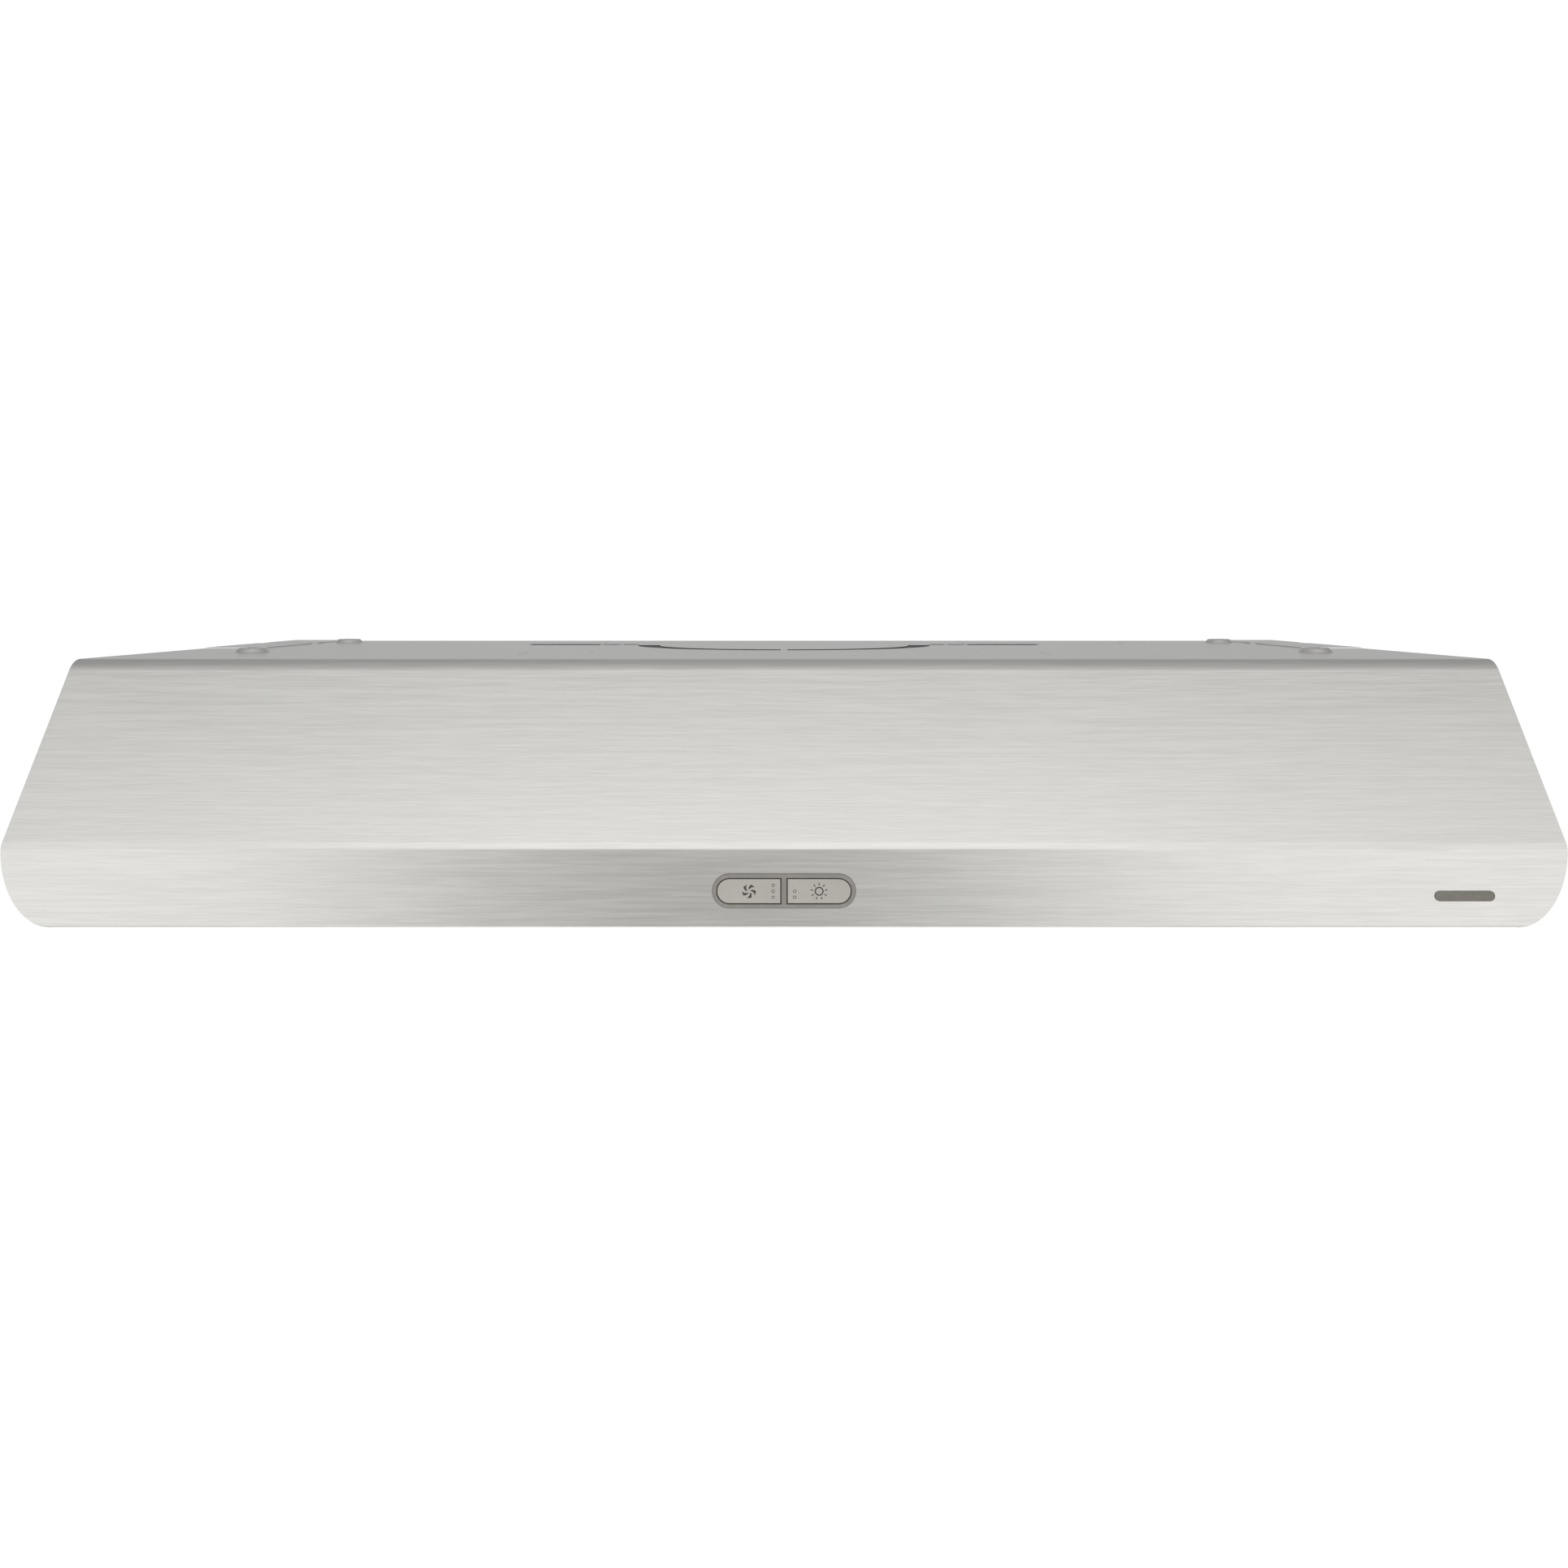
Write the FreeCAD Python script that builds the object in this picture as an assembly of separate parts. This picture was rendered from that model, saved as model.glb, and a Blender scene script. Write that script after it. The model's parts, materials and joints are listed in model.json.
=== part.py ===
"""Under cabinet range hood, 36 inch class, in millimetres.

+Z is up and the front faces -Y. The origin is the middle of the four cabinet screw holes,
on the plane that lies against the cabinet. Left and right are as seen from the front.
"""
import FreeCAD, Part
import math
import os

from FreeCAD import Placement, Rotation, Vector

# Overall sizes
WIDTH = 911.0  # across the end panels
DEPTH = 508.0  # front face to wall face
HEIGHT = 152.5  # bottom edge to top sheet
SHEET = 0.8  # steel sheet of the body
FIT_GAP = 0.3  # between panels that are fitted together

# Cabinet fixing
SCREW_SPAN_X = 780.0
SCREW_SPAN_Y = 235.0
FRONT_SCREW_SETBACK = 223.0  # front face to the front pair of screws
BOSS_RISE = 3.0  # cabinet plane above the top sheet
BOSS_TOP_R = 9.5
KEYHOLE_R = 5.0
KEYHOLE_SLOT = 5.6  # width of the narrow end
KEYHOLE_RUN = 8.5  # round end to the end of the slot
KEYHOLE_SHIFT = 3.0  # boss centre ahead of the round end

# Canopy outline, seen from the side
APRON_RISE = 47.0  # bottom edge to the fold
SLANT_SETBACK = 86.0  # front face to the top bend
FOLD_R = 9.0
TOP_BEND_R = 19.0
HEM_R = 1.6
RIM = 24.0  # bottom rim, turned inward
RIM_RETURN = 16.0  # its upturned edge

# End panels
ROLL_ACROSS = 29.0  # lower corner roll, seen from the front
ROLL_TALL = 44.0
END_FLANGE = 14.0
TAB_REACH = 47.5  # end tabs folded over the top sheet
TAB_STARTS = (298.0, 423.0)  # from the front face
TAB_LENGTHS = (110.0, 84.0)

# Top openings
SLOT_DEPTH = 392.0  # front face to the middle of the straight slots
SLOT_WIDE = 24.0
SLOT_NARROW = 15.0
WIDE_SLOT_X = (156.0, 216.0)
NARROW_SLOTS_X = ((124.0, 137.0), (139.0, 154.0))
ARC_SLOT_DEPTH = 374.0
ARC_SLOT_OUTER_R = 122.0
ARC_SLOT_INNER_R = 104.0
ARC_SLOT_BRIDGE = 5.0
KNOCKOUT_R = 11.0
KNOCKOUT_SLIT = 0.6
KNOCKOUT_BRIDGE = 3.0
KNOCKOUTS = ((284.0, 420.0), (313.0, 461.0))  # across, then from the front face

# Bottom pan and filters
PAN_RECESS = 20.0  # bottom edge to the underside of the pan
LAMP_STRIP = 96.0
REAR_STRIP = 56.0
SIDE_STRIP = 34.0
MIDDLE_BAR = 24.0
BAY_LIP = 8.0
PAN_SCREW_SHARES = (-0.75, -0.25, 0.25, 0.75)  # of the rim's half width
FILTER_GAP = 2.0
FILTER_THICK = 9.0
FILTER_RAIL = 14.0
FILTER_SKIN = 1.2
MESH_THICK = 3.0
MESH_HELD = 9.0  # mesh edge inside the rail
HOOK_REACH = 9.0
HOOK_WIDTH = 30.0
CLIP_WIDTH = 14.0
CLIP_THICK = 0.5
CLIP_RISE = 10.0
SPRING_GAP = 0.4
STAPLE_WALL = 1.2
STAPLE_LENGTH = 8.0
RING_WIRE_R = 1.25
RING_ACROSS = 20.0
RING_DROP = 14.0
RING_FLAT = 2.0  # straight foot of the ring
RUNNING_GAP = 0.1

# Duct
DUCT_ACROSS = 254.0
DUCT_TALL = 83.0
DUCT_FLANGE = 12.0
DUCT_REACH = 35.0  # past the wall face
DUCT_TOP_DROP = 5.0  # top sheet to the top of the collar
FLAP_PIN_R = 1.5
FLAP_PIN_SETBACK = 9.0  # wall face to the flap pin
FLAP_PIN_DROP = 5.0
FLAP_BARREL_R = 3.0
FLAP_THICK = 1.0
FLAP_SIDE_GAP = 2.0
FLAP_FLOOR_GAP = 2.0
STOP_HEIGHT = 5.0

# Blower
BLOWER_SHARE = DUCT_ACROSS / 254.0  # the blower grows with the duct it feeds
BLOWER_SETBACK = 300.0  # front face to the wheel's axis
BLOWER_TALL = 91.0  # top sheet to the underside of the inlet plate
BLOWER_WALL = 1.5
BLOWER_RIM = 6.0
SCROLL_START_R = 102.0 * BLOWER_SHARE
SCROLL_STEP = 27.2 * BLOWER_SHARE
EAR_R = 9.0
INLET_R = 74.0 * BLOWER_SHARE
INLET_PLATE_R = 90.0 * BLOWER_SHARE
INLET_ROLL_R = 8.0
INLET_LIP = 9.0
WHEEL_R = 95.0 * BLOWER_SHARE
WHEEL_INNER_R = 80.0 * BLOWER_SHARE
WHEEL_TALL = 67.0
WHEEL_GAP = 4.5  # inlet plate to the wheel
WHEEL_SHEET = 1.2
WHEEL_BLADES = 36
BLADE_THICK = 0.7
BLADE_SWEEP = 0.75  # tip's lead over the root, as a share of the blade's depth
BLADE_BOW = (0.2, -0.16)  # bow of the blade, as shares of its depth
BOWL_R = 65.0 * BLOWER_SHARE
BOWL_GAP = 11.0  # motor can to the bottom of the bowl
HUB_R = 9.0
HUB_TALL = 14.0
MOTOR_R = 48.0 * BLOWER_SHARE
MOTOR_TALL = 48.0
MOTOR_WALL = 1.5
MOTOR_EAR_R = 6.0
SHAFT_R = 4.0
BEARING_R = 8.0
BEARING_TALL = 8.0
BEARING_GAP = 0.03
BEARING_SEAT = 2.0
ROTOR_R = 24.0
AIR_GAP = 0.6
ROTOR_TALL = 24.0
NUT_R = 7.5
NUT_TALL = 6.0
SHAFT_END = 1.0  # past the nut

# Controls, on the middle of the apron
CONTROL_RISE = 21.5  # bottom edge to the middle of the bezel
BEZEL_ACROSS = 83.8
BEZEL_TALL = 20.2
BEZEL_PROUD = 1.2
BEZEL_LIP = 3.0  # thickness of its front wall
BEZEL_OVERLAP = 1.0  # over the edge of the apron cut-out
BEZEL_WALL = 0.8
BEZEL_REACH = 6.0  # behind the apron's front face
KEY_ACROSS = 36.6
KEY_TALL = 14.0
KEY_DIVIDER = 4.3
KEY_GAP = 0.3
KEY_PROUD = 0.2
KEY_FLANGE = 1.2
KEY_TRAVEL = 1.2
KEY_STEM_R = 2.0
SWITCH_SIDE = 6.0
SWITCH_TALL = 3.5
SWITCH_TIP_R = 1.6
SWITCH_TIP = 1.0
BOARD_SETBACK = 14.0  # apron face to the board
BOARD_THICK = 1.6
HOUSING_ACROSS = 98.0
HOUSING_TALL = 25.0
HOUSING_DEPTH = 20.0
HOUSING_WALL = 1.5
BOARD_SCREW_X = 41.5
LEVEL_DOT_R = 0.95
LEVEL_DOT_STEP = 3.5
FAN_DOTS_X = -6.3
LIGHT_DOTS_X = 6.2
BADGE_X = 395.6
BADGE_RISE = 18.5
BADGE_ACROSS = 35.0
BADGE_TALL = 6.1
BADGE_THICK = 0.8

# Lamps
LAMP_X = 250.0
LAMP_HOLE_R = 34.0
LAMP_TRIM_R = 40.0
LAMP_TRIM_THICK = 2.2
LAMP_GLASS_R = 30.0
LAMP_SLEEVE_R = 33.5
LAMP_SLEEVE_TALL = 8.0
LENS_THICK = 2.5
LAMP_CAN_WALL = 1.2
LAMP_CAN_TALL = 36.0
SOCKET_R = 13.0
SOCKET_TALL = 16.0

# Wiring
BOX_X = (240.0, 350.0)
BOX_SETBACK = 108.0  # wall face to the front of the wiring box
BOX_TALL = 62.0
BOX_LIP = 10.0
BUSHING_X = 300.0
BUSHING_DROP = 34.5  # top sheet to the middle of the cable hole
BUSHING_BORE_R = 8.0
BUSHING_R = 10.9
BUSHING_FLANGE_R = 14.0
BUSHING_FLANGE = 2.0
BUSHING_LENGTH = 9.0
BUSHING_HOLE_GAP = 0.1
LEAD_R = 3.0
THIN_LEAD_R = 2.0
LEAD_RISE = 12.0  # straight run out of the control housing
LEAD_RUN_IN = 20.0  # straight run into a socket or a box
LEAD_BEND = 30.0  # room for a lead to turn
GROMMET_R = 6.0
GROMMET_LENGTH = 5.0
GROMMET_GROOVE = 1.0
GROMMET_CLEAR = 2.0  # from the blower's top plate
CAPACITOR_R = 16.0
CAPACITOR_LENGTH = 58.0
CAPACITOR_X = 190.0
CAPACITOR_SETBACK = 280.0
STRAP_WIDTH = 14.0
CONNECTOR_R = 7.0
CONNECTOR_TIP_R = 4.0
CONNECTOR_LENGTH = 22.0

# Screws
SCREW_R = 2.0
SCREW_HEAD_R = 4.0
SCREW_HEAD = 2.0
SCREW_LENGTH = 8.0

# Planes worked out from the sizes above
FRONT_Y = -(FRONT_SCREW_SETBACK + SCREW_SPAN_Y / 2)
WALL_Y = FRONT_Y + DEPTH
TOP_Z = -BOSS_RISE
BOTTOM_Z = TOP_Z - HEIGHT
ROOF_Z = TOP_Z - SHEET  # underside of the top sheet
HALF = WIDTH / 2
RIM_X = HALF - ROLL_ACROSS - RIM
PAN_FRONT_Y = FRONT_Y + RIM
PAN_REAR_Y = WALL_Y - RIM
PAN_Z = BOTTOM_Z + PAN_RECESS
BAY_FRONT_Y = PAN_FRONT_Y + LAMP_STRIP
BAY_REAR_Y = PAN_REAR_Y - REAR_STRIP
BAY_INNER_X = MIDDLE_BAR / 2
BAY_OUTER_X = RIM_X - SIDE_STRIP
BAY_MIDDLE_X = (BAY_INNER_X + BAY_OUTER_X) / 2
BLOWER_X = DUCT_ACROSS / 2 - 2.5 * SCROLL_STEP - SCROLL_START_R
BLOWER_Y = FRONT_Y + BLOWER_SETBACK
BLOWER_REAR_Y = WALL_Y - 2 * SHEET - FIT_GAP
BLOWER_TOP_Z = ROOF_Z - BLOWER_WALL
INLET_Z = TOP_Z - BLOWER_TALL  # underside of the inlet plate
WHEEL_Z = INLET_Z + BLOWER_WALL + WHEEL_GAP
MOTOR_Z = BLOWER_TOP_Z - MOTOR_TALL
BOWL_Z = MOTOR_Z - BOWL_GAP
HUB_Z = BOWL_Z + WHEEL_SHEET - HUB_TALL
DUCT_TOP_Z = TOP_Z - DUCT_TOP_DROP
DUCT_BOTTOM_Z = DUCT_TOP_Z - DUCT_TALL
FLAP_PIN_Y = WALL_Y + FLAP_PIN_SETBACK
FLAP_PIN_Z = DUCT_TOP_Z - FLAP_PIN_DROP
CONTROL_Z = BOTTOM_Z + CONTROL_RISE
BOARD_Y = FRONT_Y + BOARD_SETBACK
LAMP_Y = (PAN_FRONT_Y + BAY_FRONT_Y) / 2
LAMP_CAN_Z = PAN_Z + SHEET + LAMP_CAN_TALL
BOX_FRONT_Y = WALL_Y - BOX_SETBACK
BOX_REAR_Y = WALL_Y - SHEET
BOX_Z = ROOF_Z - BOX_TALL
BUSHING_Z = TOP_Z - BUSHING_DROP

SIDE_VIEW = Placement(Vector(), Rotation(Vector(0, 1, 0), Vector(0, 0, 1), Vector(1, 0, 0), "XYZ"))
FRONT_VIEW = Placement(Vector(), Rotation(Vector(1, 0, 0), Vector(0, 0, 1), Vector(0, -1, 0), "XYZ"))
CANOPY_LINE = (
    (PAN_FRONT_Y, BOTTOM_Z + RIM_RETURN),
    (PAN_FRONT_Y, BOTTOM_Z),
    (FRONT_Y, BOTTOM_Z),
    (FRONT_Y, BOTTOM_Z + APRON_RISE),
    (FRONT_Y + SLANT_SETBACK, TOP_Z),
    (WALL_Y, TOP_Z),
)
CANOPY_RADII = (HEM_R, HEM_R, FOLD_R, TOP_BEND_R)


# Shape helpers

def block(x_span, y_span, z_span):
    """Box between two ends along each axis."""
    size = [span[1] - span[0] for span in (x_span, y_span, z_span)]
    return Part.makeBox(*size, Vector(x_span[0], y_span[0], z_span[0]))


def rod(start, end, radius):
    """Round bar between two points."""
    return Part.makeCylinder(radius, (end - start).Length, start, end - start)


def post(radius, x, y, z_span):
    """Upright round bar."""
    return rod(Vector(x, y, z_span[0]), Vector(x, y, z_span[1]), radius)


def sleeve(start, end, outer, inner):
    """Round tube between two points."""
    return rod(start, end, outer).cut(rod(start, end, inner))


def joined(shapes):
    """One solid from shapes that touch."""
    whole = shapes[0].multiFuse(shapes[1:]).removeSplitter()
    return whole.Solids[0] if len(whole.Solids) == 1 else whole


def line_edge(start, end):
    return Part.LineSegment(start, end).toShape()


def closed_face(edges):
    """Flat face inside a ring of edges."""
    return Part.Face(Part.Wire(Part.__sortEdges__(edges)))


def polygon_face(points):
    """Flat face with straight sides."""
    corners = [Vector(u, v, 0) for u, v in points]
    return Part.Face(Part.makePolygon(corners + corners[:1]))


def bend_path(points, radii, shift=0.0):
    """Edges along a line of points, moved to its left by shift, with rounded corners.

    The radii belong to the line itself, so bends stay concentric when it is moved.
    """
    spots = [Vector(u, v, 0) for u, v in points]
    runs = [(after - before).normalize() for before, after in zip(spots, spots[1:])]
    lefts = [Vector(-run.y, run.x, 0) for run in runs]
    moved = [spots[0] + lefts[0] * shift]
    for spot, before, after in zip(spots[1:], lefts, lefts[1:]):
        moved.append(spot + (before + after) * (shift / (1 + before.dot(after))))
    moved.append(spots[-1] + lefts[-1] * shift)
    edges = []
    start = moved[0]
    for corner, run_in, run_out, radius in zip(moved[1:-1], runs, runs[1:], radii):
        turns_left = run_in.cross(run_out).z > 0
        bend = radius - shift if turns_left else radius + shift
        half_turn = run_in.getAngle(run_out) / 2
        first = corner - run_in * (bend * math.tan(half_turn))
        last = corner + run_out * (bend * math.tan(half_turn))
        inward = (run_out - run_in).normalize()
        middle = corner + inward * (bend / math.cos(half_turn) - bend)
        edges.append(line_edge(start, first))
        edges.append(Part.Arc(first, middle, last).toShape())
        start = last
    edges.append(line_edge(start, moved[-1]))
    return edges


def sheet_face(points, radii, near, far):
    """Edge-on face of a bent sheet, between two moved copies of one line."""
    one = bend_path(points, radii, near)
    other = bend_path(points, radii, far)
    start_cap = line_edge(one[0].Vertexes[0].Point, other[0].Vertexes[0].Point)
    end_cap = line_edge(one[-1].Vertexes[-1].Point, other[-1].Vertexes[-1].Point)
    return closed_face(one + other + [start_cap, end_cap])


def drawn(face, view, start, run):
    """Solid of a flat face, turned into its view and drawn out from start along run."""
    turned = face.copy()
    turned.Placement = view
    turned.translate(start)
    return turned.extrude(run)


def across(face, x_span):
    """Solid of a (y, z) face drawn out along X."""
    return drawn(face, SIDE_VIEW, Vector(x_span[0], 0, 0), Vector(x_span[1] - x_span[0], 0, 0))


def rearward(face, y_span):
    """Solid of an (x, z) face drawn out along Y."""
    return drawn(face, FRONT_VIEW, Vector(0, y_span[0], 0), Vector(0, y_span[1] - y_span[0], 0))


def upward(face, z_span):
    """Solid of an (x, y) face drawn out along Z."""
    return drawn(face, Placement(), Vector(0, 0, z_span[0]), Vector(0, 0, z_span[1] - z_span[0]))


def turned_about(face, x, y):
    """Solid of an (r, z) face turned about an upright axis."""
    upright = face.copy()
    upright.Placement = FRONT_VIEW
    upright.translate(Vector(x, y, 0))
    return upright.revolve(Vector(x, y, 0), Vector(0, 0, 1), 360)


def bent_bar(points, radii, radius):
    """Round bar along a line of points, with a tangent arc at each inner corner."""
    runs = [(after - before).normalize() for before, after in zip(points, points[1:])]
    pieces = []
    start = points[0]
    for corner, run_in, run_out, bend in zip(points[1:-1], runs, runs[1:], radii):
        turn = run_in.getAngle(run_out)
        first = corner - run_in * (bend * math.tan(turn / 2))
        last = corner + run_out * (bend * math.tan(turn / 2))
        inward = (run_out - run_in).normalize()
        centre = corner + inward * (bend / math.cos(turn / 2))
        disc = Part.Face(Part.Wire(Part.makeCircle(radius, first, run_in)))
        pieces.append(rod(start, first, radius))
        pieces.append(disc.revolve(centre, run_in.cross(run_out), math.degrees(turn)))
        start = last
    pieces.append(rod(start, points[-1], radius))
    return joined(pieces)


def lead(points, radius):
    """Cable along a line of points, its bends as large as the runs allow."""
    radii = []
    for before, corner, after in zip(points, points[1:], points[2:]):
        run_in = corner - before
        run_out = after - corner
        shorter = min(run_in.Length, run_out.Length)
        radii.append(0.45 * shorter / math.tan(run_in.getAngle(run_out) / 2))
    return bent_bar(points, radii, radius)


def pill_face(x_span, middle, tall, round_left=True, round_right=True):
    """Flat bar whose chosen ends are full-round."""
    radius = tall / 2
    left = x_span[0] + (radius if round_left else 0)
    right = x_span[1] - (radius if round_right else 0)
    low = middle - radius
    high = middle + radius
    edges = [
        line_edge(Vector(left, low, 0), Vector(right, low, 0)),
        line_edge(Vector(left, high, 0), Vector(right, high, 0)),
    ]
    for end, is_round, side in ((left, round_left, -1), (right, round_right, 1)):
        bottom = Vector(end, low, 0)
        top = Vector(end, high, 0)
        if is_round:
            edges.append(Part.Arc(bottom, Vector(end + side * radius, middle, 0), top).toShape())
        else:
            edges.append(line_edge(bottom, top))
    return closed_face(edges)


def mirrored(shape):
    """The same piece on the other side of the hood."""
    return shape.mirror(Vector(), Vector(1, 0, 0))


def screw(head, direction):
    """Pan-head screw: its head stands on the face at head, its shank runs along direction."""
    way = Vector(direction)
    shank = rod(head, head + way * SCREW_LENGTH, SCREW_R)
    dome = rod(head, head - way * SCREW_HEAD, SCREW_HEAD_R)
    rim = [edge for edge in dome.Edges if (edge.CenterOfMass - head).dot(way) < -SCREW_HEAD / 2
           and isinstance(edge.Curve, Part.Circle)]
    return joined([dome.makeFillet(SCREW_HEAD * 0.6, rim), shank])


def export(name, *solids):
    """Write one node's solids to its file."""
    shape = solids[0] if len(solids) == 1 else Part.makeCompound(solids)
    shape.exportStep(f"parts/{name}.step")


# Body of the hood

def front_outline(inset):
    """Front outline of the hood, drawn in by inset, with its two lower corners rolled."""
    half = HALF - inset
    floor = BOTTOM_Z + inset
    wide = ROLL_ACROSS - inset
    tall = ROLL_TALL - inset
    edges = [
        line_edge(Vector(wide - half, floor, 0), Vector(half - wide, floor, 0)),
        line_edge(Vector(-half, HEIGHT, 0), Vector(half, HEIGHT, 0)),
    ]
    for side in (-1, 1):
        centre = Vector(side * (half - wide), floor + tall, 0)
        roll = Part.Ellipse(centre + Vector(0, tall, 0), centre + Vector(side * wide, 0, 0), centre)
        edges.append(Part.ArcOfEllipse(roll, math.pi / 2, math.pi).toShape())
        edges.append(line_edge(Vector(side * half, floor + tall, 0), Vector(side * half, HEIGHT, 0)))
    return closed_face(edges)


def tab_spans():
    """Y spans of the end tabs."""
    return [(FRONT_Y + start, FRONT_Y + start + length) for start, length in zip(TAB_STARTS, TAB_LENGTHS)]


def screw_places():
    """The four cabinet screw places."""
    return [(sx * SCREW_SPAN_X / 2, sy * SCREW_SPAN_Y / 2) for sx in (-1, 1) for sy in (-1, 1)]


def keyhole_boss(x, y):
    """Raised boss, the space under it, and its keyhole."""
    middle = Vector(x, y - KEYHOLE_SHIFT, TOP_Z)
    outer = Part.makeCone(BOSS_TOP_R + BOSS_RISE, BOSS_TOP_R, BOSS_RISE, middle)
    inner = outer.translated(Vector(0, 0, -SHEET))
    slot_end = y - KEYHOLE_RUN
    half_slot = KEYHOLE_SLOT / 2
    span = (TOP_Z - BOSS_RISE, BOSS_RISE)
    keyhole = joined([
        post(KEYHOLE_R, x, y, span),
        block((x - half_slot, x + half_slot), (slot_end, y), span),
        post(half_slot, x, slot_end, span),
    ])
    return outer, inner, keyhole


def top_slots():
    """Cutters for the slots in the top sheet."""
    span = (ROOF_Z - SHEET, TOP_Z + SHEET)
    middle_y = FRONT_Y + SLOT_DEPTH
    cutters = []
    for side in (-1, 1):
        rows = [(WIDE_SLOT_X, SLOT_WIDE)] + [(xs, SLOT_NARROW) for xs in NARROW_SLOTS_X]
        for (near, far), wide in rows:
            xs = sorted((side * near, side * far))
            cutters.append(block(xs, (middle_y - wide / 2, middle_y + wide / 2), span))
    arc_y = FRONT_Y + ARC_SLOT_DEPTH
    ring = sleeve(Vector(0, arc_y, span[0]), Vector(0, arc_y, span[1]), ARC_SLOT_OUTER_R, ARC_SLOT_INNER_R)
    front_half = block((-HALF, HALF), (arc_y - ARC_SLOT_OUTER_R, arc_y), span)
    bridge = block((-ARC_SLOT_BRIDGE / 2, ARC_SLOT_BRIDGE / 2), (FRONT_Y, arc_y), span)
    cutters.append(ring.common(front_half).cut(bridge))
    for x, setback in KNOCKOUTS:
        y = FRONT_Y + setback
        slit = sleeve(Vector(x, y, span[0]), Vector(x, y, span[1]), KNOCKOUT_R + KNOCKOUT_SLIT, KNOCKOUT_R)
        half_bridge = KNOCKOUT_BRIDGE / 2
        reach = KNOCKOUT_R + 2 * KNOCKOUT_SLIT
        cutters.append(slit.cut(block((x - half_bridge, x + half_bridge), (y - reach, y + reach), span)))
    return cutters


def control_cutout():
    """Cutter for the bezel's sleeve through the apron."""
    half = BEZEL_ACROSS / 2 - BEZEL_OVERLAP
    return rearward(
        pill_face((-half, half), CONTROL_Z, BEZEL_TALL - 2 * BEZEL_OVERLAP),
        (FRONT_Y - SHEET, FRONT_Y + 2 * SHEET),
    )


def canopy_shell():
    """Apron, slanted front and top, bent from one sheet."""
    outline = rearward(front_outline(0), (FRONT_Y, WALL_Y))
    shell = across(sheet_face(CANOPY_LINE, CANOPY_RADII, 0, -SHEET), (-HALF, HALF)).common(outline)
    rim_end = HALF - ROLL_ACROSS - FIT_GAP
    cutters = top_slots() + [control_cutout()] + screw_holes(pan_screw_places())
    bosses = [keyhole_boss(x, y) for x, y in screw_places()]
    for side in (-1, 1):
        cutters.append(block(
            sorted((side * rim_end, side * HALF)),
            (FRONT_Y + SHEET, PAN_FRONT_Y + SHEET),
            (BOTTOM_Z - SHEET, BOTTOM_Z + RIM_RETURN + SHEET),
        ))
        for start, end in tab_spans():
            cutters.append(block(
                sorted((side * (HALF - SHEET - FIT_GAP), side * HALF)),
                (start - FIT_GAP, end + FIT_GAP),
                (ROOF_Z - SHEET, TOP_Z + SHEET),
            ))
    shell = shell.cut(cutters)
    shell = shell.fuse([outer for outer, inner, keyhole in bosses])
    shell = shell.cut([cutter for outer, inner, keyhole in bosses for cutter in (inner, keyhole)])
    return shell.removeSplitter().Solids[0]


def canopy_inside():
    """Space behind and below the canopy sheet, over the whole width."""
    skin = bend_path(CANOPY_LINE[2:], CANOPY_RADII[2:], -SHEET)
    front = skin[0].Vertexes[0].Point
    rear = skin[-1].Vertexes[-1].Point
    low_rear = Vector(WALL_Y, BOTTOM_Z, 0)
    return across(closed_face(skin + [line_edge(rear, low_rear), line_edge(low_rear, front)]), (-HALF, HALF))


def right_end_panel():
    """End wall, its roll and rim, a flange that follows the canopy, and tabs over the top sheet."""
    length = (FRONT_Y, WALL_Y)
    hull = rearward(front_outline(0), length)
    wall = hull.cut(rearward(front_outline(SHEET), length))
    wall = wall.common(block((RIM_X, HALF), length, (BOTTOM_Z, TOP_Z)))
    flange_face = sheet_face(CANOPY_LINE[2:], CANOPY_RADII[2:], -SHEET, -2 * SHEET)
    flange = across(flange_face, (HALF - END_FLANGE, HALF))
    returned = block((RIM_X, RIM_X + SHEET), length, (BOTTOM_Z, BOTTOM_Z + RIM_RETURN))
    panel = joined([wall, flange.common(hull), returned]).common(canopy_inside())
    panel = panel.cut([
        block(
            (RIM_X, HALF - ROLL_ACROSS),
            (FRONT_Y, PAN_FRONT_Y + FIT_GAP),
            (BOTTOM_Z, BOTTOM_Z + RIM_RETURN),
        ),
        block((0, HALF - SHEET), (WALL_Y - SHEET - FIT_GAP, WALL_Y), (BOTTOM_Z, TOP_Z)),
    ] + screw_holes(pan_screw_places()))
    pieces = [panel]
    for tab in tab_spans():
        pieces.append(block((HALF - TAB_REACH, HALF), tab, (TOP_Z, TOP_Z + SHEET)))
        pieces.append(block((HALF - SHEET, HALF), tab, (ROOF_Z, TOP_Z + SHEET)))
    return joined(pieces)


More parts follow.
